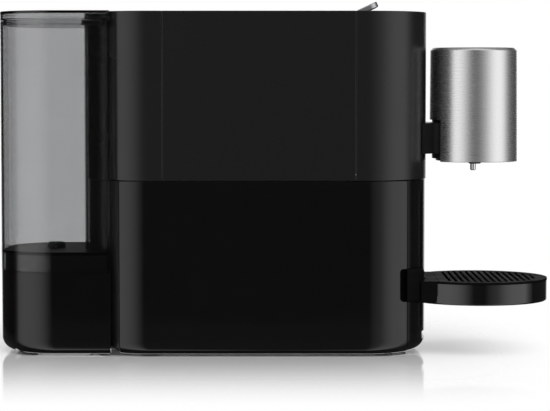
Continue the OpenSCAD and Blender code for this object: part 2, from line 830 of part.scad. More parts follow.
module coffee_outlet() {
    color("silver") difference() {
        translate([0, -outlet_y, head_z - 2.2]) union() {
            cylinder(r1 = 4.4, r2 = 5.2, h = 0.8);
            translate([0, 0, 0.8]) cylinder(r = 5.2, h = 2);
        }
        translate([0, -head_y, head_z - 5]) cylinder(r = spindle_r + run_fit, h = 10);
        translate([0, -jet_y, head_z - 5]) cylinder(d = jet_d - 0.2, h = 10);
    }
}

coffee_route = [
    [0, piston_face - piston_t - 0.3, brew_z], [0, -50, brew_z], [6, -84, brew_z],
    [bore_x, -94, brew_z - 22], [bore_x, -72, arm_z + arm_h + 16], [bore_x, -70, arm_z + arm_h / 2],
    [bore_x, -92, arm_z + arm_h / 2], [bore_x, -arm_end - 2, arm_z + arm_h / 2],
    [19, -arm_end - 8, arm_z + arm_h / 2], [19, -head_y, core_z + 6], [8, -jet_y, core_z + 5.2],
    [0, -jet_y, core_z + 5], [0, -jet_y, core_z + 2.8]
];
module coffee_hose() { color([0.85, 0.85, 0.8]) hose(coffee_route, 2); }

// ---- Water tank ----

// The tank's footprint, drawn in by inset and hollowed to fit around the body
module tank_slab(inset, z0, z1) {
    difference() {
        intersection() {
            translate([0, 0, z0]) linear_extrude(z1 - z0)
                plan(tank_half_w - inset, body_rear - 90, tank_rear - inset, tank_r - inset);
            between_y(tank_front + inset, tank_rear + 1);
        }
        body_slab(-tank_gap - inset, z0 - 1, z1 + 1);
    }
}

seat_r = 7.2;
module tank() {
    color([0.7, 0.75, 0.78, 0.35]) difference() {
        union() {
            difference() {
                tank_slab(0, tank_z, tank_top);
                tank_slab(tank_wall, tank_floor_z, tank_top + 1);
                tank_slab(tank_wall, tank_z - 1, tank_floor_z - floor_t);
            }
            translate([0, valve_y, tank_z + 0.6])
                cylinder(r = seat_r + 2.4, h = tank_floor_z - floor_t - tank_z - 0.6);
        }
        translate([0, valve_y, tank_z - 1]) cylinder(r = seat_r, h = tank_floor_z - floor_t - tank_z + 1);
        translate([0, valve_y, tank_z]) cylinder(r = 1.5 + run_fit, h = 30);
        for (a = [0 : 60 : 300]) translate([0, valve_y, tank_z]) rotate([0, 0, a]) translate([3.9, 0, 0])
            cylinder(d = 2.2, h = 30);
    }
}

module tank_lid() {
    color([0.7, 0.75, 0.78, 0.5]) {
        difference() {
            tank_slab(0, lid_z, lid_top);
            tank_slab(tank_wall, lid_z + 1.4, lid_top - 2);
            tank_slab(tank_wall + 2.4, lid_z - 1, lid_z + 2);
        }
        difference() {
            tank_slab(tank_wall + 0.4, lid_z - 4, lid_z);
            tank_slab(tank_wall + 2.4, lid_z - 5, lid_z + 1);
        }
    }
}

seal_z = tank_floor_z + 1.3;
stem_end = tank_floor_z - floor_t - 6.4;
module valve_cage() {
    color([0.2, 0.2, 0.2]) difference() {
        translate([0, valve_y, tank_floor_z]) {
            cylinder(r = 7.4, h = 3);
            translate([0, 0, 3]) cylinder(r1 = 7.4, r2 = 5.8, h = 1.5);
        }
        translate([0, valve_y, tank_floor_z - 1]) cylinder(r = 6.5, h = 4.5);
        for (a = [0 : 60 : 120]) translate([0, valve_y, tank_floor_z - 1]) rotate([0, 0, a])
            translate([-10, -1.5, 0]) cube([20, 3, 3]);
    }
}

module valve_plunger() {
    color("white") translate([0, valve_y, 0]) {
        translate([0, 0, stem_end]) cylinder(r = 3, h = 1.2);
        translate([0, 0, stem_end + 1.2]) cylinder(r = 1.5, h = seal_z + 0.8 - stem_end - 1.2);
        translate([0, 0, seal_z + 0.8]) cylinder(r = 5.4, h = 0.8);
    }
}

module valve_seal() {
    color("black") translate([0, valve_y, seal_z]) ring(5.8, 1.5, 0.8);
}

module valve_spring() {
    turns = 4;
    coil_r = 2.6;
    wire = 0.4;
    z0 = stem_end + 1.2 + wire;
    rise = tank_floor_z - floor_t - wire - z0;
    steps = 12;
    path = [for (i = [0 : turns * steps])
        let (a = i * 360 / steps)
        [coil_r * cos(a), valve_y + coil_r * sin(a), z0 + rise * i / turns / steps]];
    color("silver") tube(path, wire, 6);
}

dock_wall = wall + foot_edge_r / 3;
module tank_dock() {
    half_w = tank_half_w - 0.3;
    color([0.03, 0.03, 0.03]) difference() {
        union() {
            difference() {
                intersection() {
                    footed_block(half_w, body_rear - 90, tank_rear - 0.3, tank_r - 0.3,
                        floor_gap, dock_top, foot_edge_r);
                    between_y(tank_front, tank_rear);
                }
                translate([0, 0, base_top]) linear_extrude(dock_top - wall - base_top)
                    plan(half_w - dock_wall, body_rear - 60, tank_rear - 0.3 - dock_wall,
                        tank_r - 0.3 - dock_wall);
                translate([-40, body_rear - 5, -1]) cube([80, tank_rear - body_rear - 9, base_z + 1]);
            }
            tank_slab(tank_wall + 1, dock_top - eps, plug_top);
        }
        body_slab(0.7, -1, dock_top + eps);
        body_slab(-tank_gap - tank_wall - 1, dock_top, body_h);
        translate([0, valve_y, dock_top]) cylinder(r = seat_r + 2.4 + 1.2, h = 40);
        translate([0, valve_y, dock_top - 10]) cylinder(d = 8.4, h = 40);
        translate([0, tank_rear - 20, 22]) rotate([-90, 0, 0]) cylinder(d = 14, h = 30);
    }
}

spigot_top = stem_end - 2.2;
module dock_spigot() {
    color([0.2, 0.2, 0.2]) difference() {
        union() {
            translate([0, valve_y, dock_top]) cylinder(r = seat_r + 2.2, h = tank_z + 0.3 - dock_top);
            translate([0, valve_y, dock_top]) cylinder(r = seat_r - 0.4, h = spigot_top - dock_top);
            translate([0, valve_y, spigot_top - 2]) cylinder(r = 1.2, h = stem_end - spigot_top + 2 - fit);
            translate([0, valve_y, dock_top - 14]) cylinder(d = 8, h = 15);
        }
        difference() {
            translate([0, valve_y, dock_top - 20]) cylinder(d = 5, h = 60);
            translate([-4, valve_y - 0.8, spigot_top - 2]) cube([8, 1.6, 2]);
            translate([0, valve_y, spigot_top - 2]) cylinder(r = 1.2, h = 20);
        }
        translate([0, valve_y, spigot_top - 3.4]) ring(seat_r + 1, seat_r - 1.6, 2);
    }
}

module spigot_seal() {
    color("black") translate([0, valve_y, spigot_top - 3.2]) ring(seat_r - run_fit, seat_r - 1.6, 1.6);
}

module cord_gland() {
    flange_t = 1.2;
    color("black") translate([0, tank_rear - 0.3 - dock_wall - flange_t, 22])
        rotate([-90, 0, 0]) difference() {
        union() {
            cylinder(d = 13.6, h = flange_t + dock_wall - 0.3);
            cylinder(d = 17, h = flange_t);
        }
        translate([0, 0, -1]) cylinder(d = 7, h = dock_wall + 4);
    }
}

// ---- Water and heat ----

pump_r = 19;
pump_x = 10;
pump_z = base_top + 6 + pump_r;
pump_y0 = 34;
pump_len = 70;
module pump() {
    color("dimgray") translate([pump_x, pump_y0, pump_z]) rotate([-90, 0, 0]) difference() {
        union() {
            translate([0, 0, 6]) cylinder(r = pump_r - 3, h = pump_len - 12);
            translate([0, 0, 14]) cylinder(r = pump_r, h = pump_len - 28);
            cylinder(r = 5, h = pump_len);
        }
        translate([0, 0, -1]) cylinder(d = 4, h = 8);
        translate([0, 0, pump_len - 7]) cylinder(d = 4, h = 8);
    }
}

module pump_mounts() {
    color("black") for (y = [pump_y0 + 18, pump_y0 + pump_len - 26]) difference() {
        translate([pump_x - 17, y, base_top]) cube([34, 8, pump_z - base_top - 4]);
        translate([pump_x, y - 1, pump_z]) rotate([-90, 0, 0]) cylinder(r = pump_r + 0.2, h = 10);
    }
}

block_z = brew_floor_z + brew_floor_t + 3;
module thermoblock() {
    color("lightgray") difference() {
        union() {
            translate([-27, 60, block_z]) cube([54, 48, 36]);
            translate([0, piston_face + fit + chamber_len, brew_z]) rotate([-90, 0, 0])
                cylinder(d = 8, h = 60 - piston_face - fit - chamber_len + 2);
            translate([27, 74, brew_z]) rotate([0, 90, 0]) cylinder(d = 7, h = 4);
            for (y = [66 : 8 : 98]) translate([-25, y, block_z + 36]) cube([50, 3, 4]);
        }
        translate([0, 20, brew_z]) rotate([-90, 0, 0]) cylinder(d = 3, h = 50);
    }
}

meter_x = -24;
meter_y = 96;
module flow_meter() {
    color([0.85, 0.85, 0.85]) {
        translate([meter_x, meter_y, base_top]) cylinder(r = 13, h = 14);
        translate([meter_x, meter_y, base_top + 14]) cylinder(r = 3.5, h = 8);
    }
}

module suction_hose() {
    route = [
        [0, valve_y, dock_top - 14.3], [0, valve_y, dock_top - 24], [0, body_rear + 6, 40],
        [0, body_rear - 6, 40], [meter_x, meter_y + 22, 44], [meter_x, meter_y, 44],
        [meter_x, meter_y, base_top + 22.3]
    ];
    color([0.85, 0.85, 0.8]) hose(route, 3);
}

module pressure_hose() {
    route = [
        [pump_x, pump_y0 - 0.3, pump_z], [pump_x, pump_y0 - 9, pump_z], [36, pump_y0 - 9, 60],
        [36, 56, 100], [36, 56, brew_z - 12], [38, 60, brew_z], [38, 74, brew_z], [31.3, 74, brew_z]
    ];
    color([0.85, 0.85, 0.8]) hose(route, 2.5);
}

module board(origin, size, parts) {
    translate(origin) {
        color("darkgreen") cube(size);
        color("black") for (p = parts) translate(p[0]) cube(p[1]);
    }
}
module power_board() {
    board([-frame_x + 4, 34, 46], [1.6, 72, 84],
        [[[1.6, 8, 10], [12, 26, 30]], [[1.6, 44, 10], [8, 16, 20]], [[1.6, 12, 52], [10, 44, 18]],
         [[-4, 2, 2], [4, 5, 5]], [[-4, 65, 2], [4, 5, 5]],
         [[-4, 2, 77], [4, 5, 5]], [[-4, 65, 77], [4, 5, 5]]]);
}
module control_board() {
    board([-frame_x - frame_t, frame_rear + fit, 164], [2 * (frame_x + frame_t), 1.6, 84],
        [[[22, 1.6, 12], [22, 5, 22]], [[54, 1.6, 40], [18, 7, 26]], [[24, 1.6, 50], [16, 4, 16]]]);
}

base_plate();
feet();
base_screws();
frame_left();
frame_right();
lower_panel_left();
lower_panel_right();
rear_panel();
upper_side_left();
upper_side_right();
upper_front_cover();
upper_rear_cover();
top_deck();
capsule_chute();
capsule_lever();
lever_pin();
brew_frame();
brew_chamber();
chamber_seal();
brew_piston();
piercing_plate();
drop_chute();
bin_front();
capsule_bin();
tray_rail();
tray_carrier();
tray_slider();
drip_grid();
head_arm();
arm_screws();
head_shell();
head_core();
head_base();
head_cap();
whisk_motor();
whisk_spindle();
coffee_outlet();
coffee_hose();
tank();
tank_lid();
valve_cage();
valve_plunger();
valve_spring();
valve_seal();
tank_dock();
dock_spigot();
spigot_seal();
pump();
pump_mounts();
thermoblock();
flow_meter();
power_board();
control_board();
suction_hose();
pressure_hose();
cord_gland();
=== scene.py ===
import math

import bmesh
import bpy
from mathutils import Matrix, Vector


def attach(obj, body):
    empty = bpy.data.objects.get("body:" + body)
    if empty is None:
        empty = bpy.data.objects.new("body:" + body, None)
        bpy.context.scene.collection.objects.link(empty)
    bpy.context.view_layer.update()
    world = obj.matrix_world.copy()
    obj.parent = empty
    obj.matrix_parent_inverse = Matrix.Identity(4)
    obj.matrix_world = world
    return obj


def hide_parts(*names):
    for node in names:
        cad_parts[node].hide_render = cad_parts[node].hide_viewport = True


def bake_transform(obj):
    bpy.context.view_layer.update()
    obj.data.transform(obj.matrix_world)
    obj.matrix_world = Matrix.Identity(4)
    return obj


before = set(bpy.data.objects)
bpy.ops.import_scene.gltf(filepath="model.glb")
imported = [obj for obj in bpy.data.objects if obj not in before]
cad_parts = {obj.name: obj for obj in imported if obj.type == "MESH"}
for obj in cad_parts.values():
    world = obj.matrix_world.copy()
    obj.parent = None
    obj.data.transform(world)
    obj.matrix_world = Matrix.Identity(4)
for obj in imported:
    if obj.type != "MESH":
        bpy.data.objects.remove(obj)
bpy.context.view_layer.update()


# ---- Base plate, feet and screws ----
# A moulded grey plate closes the underside. Six soft rubber feet are pushed into it, and
# four zinc screws hold it to the blocks of the frame.


def shader(name, colour, roughness, metallic=0.0, **sockets):
    """A Principled material, with its texture space and its links at hand."""
    material = bpy.data.materials.new(name)
    material.use_nodes = True
    tree = material.node_tree
    face = tree.nodes["Principled BSDF"]
    face.inputs["Base Color"].default_value = (*colour, 1)
    face.inputs["Roughness"].default_value = roughness
    face.inputs["Metallic"].default_value = metallic
    for socket, value in sockets.items():
        face.inputs[socket.replace("_", " ")].default_value = value
    return material, tree, face


def grain(tree, size, detail=3.0, stretch=(1, 1, 1)):
    """Noise whose cells are about size across, in metres, stretched along an axis if asked."""
    place = tree.nodes.new("ShaderNodeTexCoord")
    turn = tree.nodes.new("ShaderNodeMapping")
    noise = tree.nodes.new("ShaderNodeTexNoise")
    turn.inputs["Scale"].default_value = stretch
    noise.inputs["Scale"].default_value = 1 / size
    noise.inputs["Detail"].default_value = detail
    tree.links.new(place.outputs["Object"], turn.inputs["Vector"])
    tree.links.new(turn.outputs["Vector"], noise.inputs["Vector"])
    return noise.outputs["Fac"]


def spread(tree, source, socket, low, high, start=0.3, end=0.7):
    """Drives a number socket between low and high."""
    scale = tree.nodes.new("ShaderNodeMapRange")
    scale.inputs["From Min"].default_value = start
    scale.inputs["From Max"].default_value = end
    scale.inputs["To Min"].default_value = low
    scale.inputs["To Max"].default_value = high
    tree.links.new(source, scale.inputs["Value"])
    tree.links.new(scale.outputs["Result"], socket)
    return scale


def tint(tree, source, socket, dark, light):
    """Drives a colour socket between two tones."""
    ramp = tree.nodes.new("ShaderNodeValToRGB")
    ramp.color_ramp.elements[0].position = 0.3
    ramp.color_ramp.elements[1].position = 0.7
    ramp.color_ramp.elements[0].color = (*dark, 1)
    ramp.color_ramp.elements[1].color = (*light, 1)
    tree.links.new(source, ramp.inputs["Fac"])
    tree.links.new(ramp.outputs["Color"], socket)


def emboss(tree, source, face, depth, strength=1.0):
    """Raises the surface by depth, in metres, where the source is light."""
    bump = tree.nodes.new("ShaderNodeBump")
    bump.inputs["Distance"].default_value = depth
    bump.inputs["Strength"].default_value = strength
    tree.links.new(source, bump.inputs["Height"])
    tree.links.new(bump.outputs["Normal"], face.inputs["Normal"])


def moulded(name, colour, roughness, grain_size, depth, vary=0.12, **sockets):
    """Moulded plastic or rubber: the mould's fine grain, and a gloss and tone that drift."""
    material, tree, face = shader(name, colour, roughness, **sockets)
    drift = grain(tree, 0.03, 4)
    dark = [c * (1 - vary) for c in colour]
    light = [c * (1 + vary) for c in colour]
    tint(tree, drift, face.inputs["Base Color"], dark, light)
    spread(tree, drift, face.inputs["Roughness"], roughness * (1 + vary), roughness * (1 - vary))
    emboss(tree, grain(tree, grain_size), face, depth)
    return material


def dress(material, *nodes):
    """Gives solids of the frame their material."""
    for node in nodes:
        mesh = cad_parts[node].data
        mesh.materials.clear()
        mesh.materials.append(material)


grey_moulding = moulded("grey moulding", (0.075, 0.075, 0.08), 0.5, 0.0006, 0.00004)
soft_rubber = moulded("soft rubber", (0.018, 0.018, 0.018), 0.8, 0.0004, 0.00005)


def machined(name, colour, roughness, line=0.0005, **sockets):
    """Turned or plated metal: fine tool lines, and a gloss that drifts."""
    material, tree, face = shader(name, colour, roughness, 1.0, **sockets)
    lines = grain(tree, line, 2, (1, 1, 0.2))
    tint(tree, grain(tree, 0.008, 4), face.inputs["Base Color"],
         [c * 0.88 for c in colour], colour)
    spread(tree, lines, face.inputs["Roughness"], roughness * 0.75, roughness * 1.3)
    emboss(tree, lines, face, 0.000008)
    return material


zinc_plate = machined("zinc plate", (0.58, 0.58, 0.56), 0.32)
dress(grey_moulding, "base_plate")
dress(soft_rubber, "feet")
dress(zinc_plate, "base_screws")


# ---- Frame plates ----
# Two folded steel plates stand on the base and carry the casing, the lever's pin and the
# brew unit. They are powder coated a dark grey, with the coating's slight orange peel.

powder_coat = moulded("powder coat", (0.16, 0.16, 0.165), 0.45, 0.0011, 0.00007)
dress(powder_coat, "frame_left", "frame_right")


# ---- Lower casing ----
# Two glossy black half shells wrap the sides, with the foot of each wall rolled inwards.
# They are moulded in black ABS and polished, and round bosses inside them seat on the
# frame's plates.

GLOSS = (0.0028, 0.0028, 0.0031)


def polished(name, colour, roughness, **sockets):
    """Polished plastic: nearly smooth, with a faint waviness and a haze of fine rubs."""
    material, tree, face = shader(name, colour, roughness, **sockets)
    rub = grain(tree, 0.018, 5)
    spread(tree, rub, face.inputs["Roughness"], roughness * 0.7, roughness * 1.5)
    tint(tree, rub, face.inputs["Base Color"], [c * 0.85 for c in colour], colour)
    emboss(tree, grain(tree, 0.05, 1), face, 0.00006)
    return material


gloss_black = polished("gloss black", GLOSS, 0.09)


def mm(*values):
    """Millimetres as a point in metres."""
    return Vector([v / 1000 for v in values])


def solo(obj):
    """Selects one object alone and makes it the active one."""
    bpy.ops.object.select_all(action="DESELECT")
    obj.select_set(True)
    bpy.context.view_layer.objects.active = obj


def settle(obj):
    """Puts the object's place and size into its mesh."""
    solo(obj)
    bpy.ops.object.transform_apply(location=True, rotation=True, scale=True)
    return obj


def named(name):
    """Names the object that was just added, and its mesh."""
    obj = bpy.context.object
    obj.name = obj.data.name = name
    return obj


def block(name, low, high):
    """A cuboid added at its place, from one corner to the other, in millimetres."""
    bpy.ops.object.select_all(action="DESELECT")
    low, high = mm(*low), mm(*high)
    bpy.ops.mesh.primitive_cube_add(size=1, location=(low + high) / 2)
    bpy.context.object.scale = high - low
    return settle(named(name))


def rod(name, radius, length, middle, vertices=32):
    """A round bar that lies across the body, in millimetres."""
    bpy.ops.object.select_all(action="DESELECT")
    bpy.ops.mesh.primitive_cylinder_add(vertices=vertices, radius=radius / 1000,
                                        depth=length / 1000, location=mm(*middle),
                                        rotation=(0, math.pi / 2, 0))
    return settle(named(name))


def pick(obj, kind, wanted):
    """Opens the mesh for editing with the edges or faces selected that wanted accepts."""
    solo(obj)
    bpy.ops.object.mode_set(mode="EDIT")
    bpy.ops.mesh.select_mode(type=kind)
    bpy.ops.mesh.select_all(action="DESELECT")
    mesh = bmesh.from_edit_mesh(obj.data)
    for part in mesh.edges if kind == "EDGE" else mesh.faces:
        part.select_set(wanted(part))
    bmesh.update_edit_mesh(obj.data)


def done():
    """Closes the mesh after editing."""
    bpy.ops.object.mode_set(mode="OBJECT")


def upright(edge):
    """Edges that stand straight up, or nearly so."""
    a, b = (v.co for v in edge.verts)
    return abs(a.z - b.z) > 0.9 * (a - b).length


def level_at(height):
    """Edges that lie at one height, in millimetres."""
    return lambda edge: all(abs(v.co.z - height / 1000) < 1e-5 for v in edge.verts)


def faces_up(sign, height):
    """Flat faces that look up or down at one height."""
    return lambda face: (face.normal.z * sign > 0.99
                         and abs(face.calc_center_median().z - height / 1000) < 1e-5)


def round_edges(obj, wanted, radius, segments):
    """Rounds the edges that wanted accepts."""
    pick(obj, "EDGE", wanted)
    bpy.ops.mesh.bevel(offset=radius / 1000, segments=segments, profile=0.5, affect="EDGES")
    done()


def drop_faces(obj, wanted):
    """Opens the mesh where wanted accepts a face."""
    pick(obj, "FACE", wanted)
    bpy.ops.mesh.delete(type="FACE")
    done()


def trim(obj, point, direction, fill=False):
    """Cuts off what lies beyond a plane."""
    pick(obj, "FACE", lambda face: True)
    bpy.ops.mesh.bisect(plane_co=mm(*point), plane_no=direction, clear_outer=True,
                        use_fill=fill)
    done()


def modify(obj, kind, **settings):
    """Adds a modifier, sets it and applies it."""
    solo(obj)
    modifier = obj.modifiers.new(kind.title(), kind)
    for key, value in settings.items():
        setattr(modifier, key, value)
    bpy.ops.object.modifier_apply(modifier=modifier.name)


def wall_in(obj, thickness):
    """Gives an open skin its wall, inwards."""
    modify(obj, "SOLIDIFY", thickness=thickness / 1000, offset=-1, use_even_offset=True)


def break_edges(obj, width, segments=3, angle=40):
    """Breaks every sharp edge with a small radius."""
    modify(obj, "BEVEL", width=width / 1000, segments=segments, limit_method="ANGLE",
           angle_limit=math.radians(angle), use_clamp_overlap=True)


def smooth(obj, angle=35):
    """Shades smooth below an angle, with the normals of the broad faces kept flat."""
    solo(obj)
    bpy.ops.object.shade_smooth_by_angle(angle=math.radians(angle))
    modify(obj, "WEIGHTED_NORMAL", keep_sharp=True, weight=80)


def carve(obj, *cutters):
    """Cuts the other pieces' shapes out of this one."""
    for cutter in cutters:
        modify(obj, "BOOLEAN", operation="DIFFERENCE", solver="EXACT", object=cutter)
        bpy.data.objects.remove(cutter)


def fuse(obj, *others):
    """Joins loose bodies of one piece into one object."""
    solo(obj)
    for other in others:
        other.select_set(True)
    bpy.ops.object.join()


def fit_out(obj, material, body, slot, *nodes):
    """Paints a piece and hangs it on its body in place of the frame's solids."""
    obj.data.materials.clear()
    obj.data.materials.append(material)
    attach(obj, body)
    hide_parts(*nodes)


BODY_HALF = 60
BODY_FRONT = -122
BODY_REAR = 151
CORNER = 50
FOOT_EDGE = 11
WALL = 3
LOWER_TOP = 138.7
LOWER_FLOOR = 0.8


def footed_shell(name, inset, floor):
    """The lower body's skin: upright corners, a rolled foot, open above and below."""
    shell = block(name, (-BODY_HALF + inset, BODY_FRONT + inset, floor),
                  (BODY_HALF - inset, BODY_REAR - inset, LOWER_TOP))
    round_edges(shell, upright, CORNER - inset, 24)
    round_edges(shell, level_at(floor), FOOT_EDGE - inset, 10)
    drop_faces(shell, faces_up(1, LOWER_TOP))
    return shell


PANEL_FRONT = -105.5
PANEL_REAR = 123.5
BOSS_R = 4
BOSS_LONG = 9.8
BOSS_X = 52.2
BOSS_YS = (-46, 70)
LOWER_BOSS_ZS = (30, 112)


def add_bosses(panel, turn, heights):
    """Round bosses between a side panel and the frame's plate."""
    for y in BOSS_YS:
        for z in heights:
            boss = rod("boss", BOSS_R, BOSS_LONG, (turn * BOSS_X, y, z))
            smooth(boss)
            fuse(panel, boss)


for side, turn in (("left", -1), ("right", 1)):
    panel = footed_shell("lower_shell_" + side, 0, LOWER_FLOOR)
    drop_faces(panel, faces_up(-1, LOWER_FLOOR))
    trim(panel, (0, PANEL_FRONT, 0), (0, -1, 0))
    trim(panel, (0, PANEL_REAR, 0), (0, 1, 0))
    trim(panel, (0, 0, 0), (-turn, 0, 0))
    wall_in(panel, WALL)
    break_edges(panel, 0.4)
    smooth(panel)
    add_bosses(panel, turn, LOWER_BOSS_ZS)
    fit_out(panel, gloss_black, "chassis", "gloss_black", "lower_panel_" + side)


# ---- Rear closing panel ----
# A duller black panel shuts the body behind, inside the shells, where the tank's dock
# stands. It is the narrow strip seen between the shells and the dock.

dull_black = moulded("dull black", (0.008, 0.008, 0.0085), 0.38, 0.0005, 0.00002)
dress(dull_black, "rear_panel")


# ---- Upper casing ----
# Flat side panels and two curved end covers in satin charcoal plastic, with a spark-eroded
# texture. They meet in fine upright V-shaped seams and stand on a shadow gap.

UPPER_FLOOR = 139.3
BODY_TOP = 273
SEAM_FRONT = -64
SEAM_REAR = 89
CLEARANCE = 0.3
UPPER_BOSS_ZS = (155, 251)

satin_black = moulded("satin charcoal", (0.0085, 0.0087, 0.0091), 0.27, 0.00035, 0.000008, 0.06)

for side, turn in (("left", -1), ("right", 1)):
    outer, inner = turn * BODY_HALF, turn * (BODY_HALF - WALL)
    panel = block("side_panel_" + side,
                  (min(outer, inner), SEAM_FRONT + CLEARANCE, UPPER_FLOOR),
                  (max(outer, inner), SEAM_REAR - CLEARANCE, BODY_TOP))
    break_edges(panel, 0.5)
    smooth(panel)
    add_bosses(panel, turn, UPPER_BOSS_ZS)
    fit_out(panel, satin_black, "chassis", "satin_black", "upper_side_" + side)


def end_cover(name, near, far):
    """A curved end of the upper casing between two planes across the body."""
    cover = block(name, (-BODY_HALF, BODY_FRONT, UPPER_FLOOR), (BODY_HALF, BODY_REAR, BODY_TOP))
    round_edges(cover, upright, CORNER, 28)
    drop_faces(cover, faces_up(1, BODY_TOP))
    drop_faces(cover, faces_up(-1, UPPER_FLOOR))
    trim(cover, (0, near, 0), (0, -1, 0))
    trim(cover, (0, far, 0), (0, 1, 0))
    wall_in(cover, WALL)
    return cover


# The arm's tongue goes through a hole in the front cover.
ARM_FLOOR = 159.5
ARM_HIGH = 24.7
TONGUE_HALF = 17
TONGUE_HIGH = 18
hole_mid = ARM_FLOOR + ARM_HIGH / 2
hole_half = TONGUE_HALF + CLEARANCE
hole_rise = TONGUE_HIGH / 2 + CLEARANCE
front_cover = end_cover("front_cover", BODY_FRONT - 1, SEAM_FRONT)
carve(front_cover, block("tongue_hole", (-hole_half, BODY_FRONT - 5, hole_mid - hole_rise),
                         (hole_half, BODY_FRONT + 10, hole_mid + hole_rise)))
rear_cover = end_cover("rear_cover", SEAM_REAR, BODY_REAR + 1)
for cover, node in ((front_cover, "upper_front_cover"), (rear_cover, "upper_rear_cover")):
    break_edges(cover, 0.5)
    smooth(cover)
    fit_out(cover, satin_black, "chassis", "satin_black", node)


# ---- Top deck ----
# A matt black plate lies inside the rim of the covers. It has a long opening for the
# lever's plate and a narrow one across it for the lever's barrel.

LEVER_HALF = 24
HINGE_Y = 30
PAN_FRONT = -88
BARREL_HALF = 31.5
BARREL_OPENING_HALF = 6.5
DECK_FLOOR = 270

fine_matt = moulded("fine matt black", (0.010, 0.010, 0.0105), 0.55, 0.0005, 0.00003)
deck_inset = WALL + CLEARANCE
deck = block("deck_plate", (-BODY_HALF + deck_inset, BODY_FRONT + deck_inset, DECK_FLOOR),
             (BODY_HALF - deck_inset, BODY_REAR - deck_inset, BODY_TOP))
round_edges(deck, upright, CORNER - deck_inset, 24)
carve(deck,
      block("lever_opening", (-LEVER_HALF - 1, PAN_FRONT, DECK_FLOOR - 1),
            (LEVER_HALF + 1, HINGE_Y, BODY_TOP + 1)),
      block("barrel_opening",
            (-BARREL_HALF - 1, HINGE_Y - BARREL_OPENING_HALF, DECK_FLOOR - 1),
            (BARREL_HALF + 1, HINGE_Y + BARREL_OPENING_HALF, BODY_TOP + 1)))
break_edges(deck, 0.5)
smooth(deck)
fit_out(deck, fine_matt, "chassis", "deck_black", "top_deck")
dress(fine_matt, "capsule_chute")


# ---- Capsule lever ----
# A flat die-cast aluminium lever lies flush in the deck, with its tip bent up for the
# fingers. Its barrel turns on a steel pin and two cranks below it drive the brew piston.

LEVER_TOP = 272.6
LEVER_THICK = 4.4
LEVER_FLAT_END = -62
TIP_LENGTH = 21.5
TIP_BEND = math.radians(25)
TIP_CORNER = 7
HINGE_Z = 267
BARREL_R = 5
CRANK = 28
CRANK_X = 28
CRANK_PLATE = 3
CRANK_HALF = 3.5
PIN_R = 2.5
PIN_INNER = 24.2


def brushed(name, colour, roughness, stretch, anisotropic, **sockets):
    """Metal brushed one way: long fine scratches in its gloss, tone and surface."""
    material, tree, face = shader(name, colour, roughness, 1.0, **sockets)
    face.inputs["Anisotropic"].default_value = anisotropic
    scratch = grain(tree, 0.0003, 2, stretch)
    tint(tree, scratch, face.inputs["Base Color"], [c * 0.97 for c in colour],
         [min(1, c * 1.02) for c in colour])
    spread(tree, scratch, face.inputs["Roughness"], roughness * 0.96, roughness * 1.04)
    emboss(tree, scratch, face, 0.00000003)
    return material, tree, face


lever_metal, _, _ = brushed("lever aluminium", (0.62, 0.62, 0.63), 0.42, (1, 0.03, 1), 0.0)

tip_run = TIP_LENGTH * math.cos(TIP_BEND)
tip_rise = TIP_LENGTH * math.sin(TIP_BEND)
lever = block("lever_plate", (-LEVER_HALF, LEVER_FLAT_END, LEVER_TOP - LEVER_THICK),
              (LEVER_HALF, HINGE_Y - 2, LEVER_TOP))
pick(lever, "FACE", lambda face: face.normal.y < -0.99)
bpy.ops.mesh.extrude_region_move(
    TRANSFORM_OT_translate={"value": mm(0, -tip_run, tip_rise)})
done()

# The underside is moved to meet in a mitre, so the tip is as thick as the flat.
mitre = math.tan(TIP_BEND / 2) * LEVER_THICK
for corner in lever.data.vertices:
    y, z = corner.co.y * 1000, corner.co.z * 1000
    if abs(y - LEVER_FLAT_END) < 0.01 and z < LEVER_TOP - 1:
        corner.co.y = (LEVER_FLAT_END - mitre) / 1000
    if y < LEVER_FLAT_END - TIP_LENGTH / 2 and z < LEVER_TOP - 1 + tip_rise:
        corner.co = mm(corner.co.x * 1000,
                       LEVER_FLAT_END - tip_run - LEVER_THICK * math.sin(TIP_BEND),
                       LEVER_TOP + tip_rise - LEVER_THICK * math.cos(TIP_BEND))
tip_y = (LEVER_FLAT_END - 0.6 * TIP_LENGTH) / 1000
round_edges(lever, lambda edge: (abs(edge.verts[0].co.x - edge.verts[1].co.x) < 1e-5
                                 and all(v.co.y < tip_y for v in edge.verts)
                                 and (edge.verts[0].co - edge.verts[1].co).length < 0.006),
            TIP_CORNER, 8)
break_edges(lever, 0.7, 3, 30)
smooth(lever)
barrel = rod("lever_barrel", BARREL_R, 2 * BARREL_HALF, (0, HINGE_Y, HINGE_Z), 64)
break_edges(barrel, 0.4)
smooth(barrel)

# The cranks are made hanging straight down and turned back by half the lever's swing.
cranks = []
half_swing = math.radians(35)
for x in (-CRANK_X - CRANK_PLATE, CRANK_X):
    arm = block("crank", (x, HINGE_Y - CRANK_HALF, HINGE_Z - CRANK),
                (x + CRANK_PLATE, HINGE_Y + CRANK_HALF, HINGE_Z))
    round_edges(arm, lambda edge: (abs(edge.verts[0].co.x - edge.verts[1].co.x) > 0.002
                                   and edge.verts[0].co.z < (HINGE_Z - CRANK / 2) / 1000),
                CRANK_HALF - 0.1, 8)
    pin_low, pin_high = sorted((math.copysign(PIN_INNER, x), math.copysign(CRANK_X + 0.5, x)))
    fuse(arm, rod("crank_pin", PIN_R, pin_high - pin_low,
                  ((pin_low + pin_high) / 2, HINGE_Y, HINGE_Z - CRANK)))
    pick(arm, "FACE", lambda face: True)
    bpy.ops.transform.rotate(value=-half_swing, orient_axis="X",
                             center_override=mm(0, HINGE_Y, HINGE_Z))
    done()
    break_edges(arm, 0.3)
    smooth(arm)
    cranks.append(arm)
fuse(lever, barrel, *cranks)
fit_out(lever, lever_metal, "lever", "lever_metal", "capsule_lever")
dress(zinc_plate, "lever_pin")


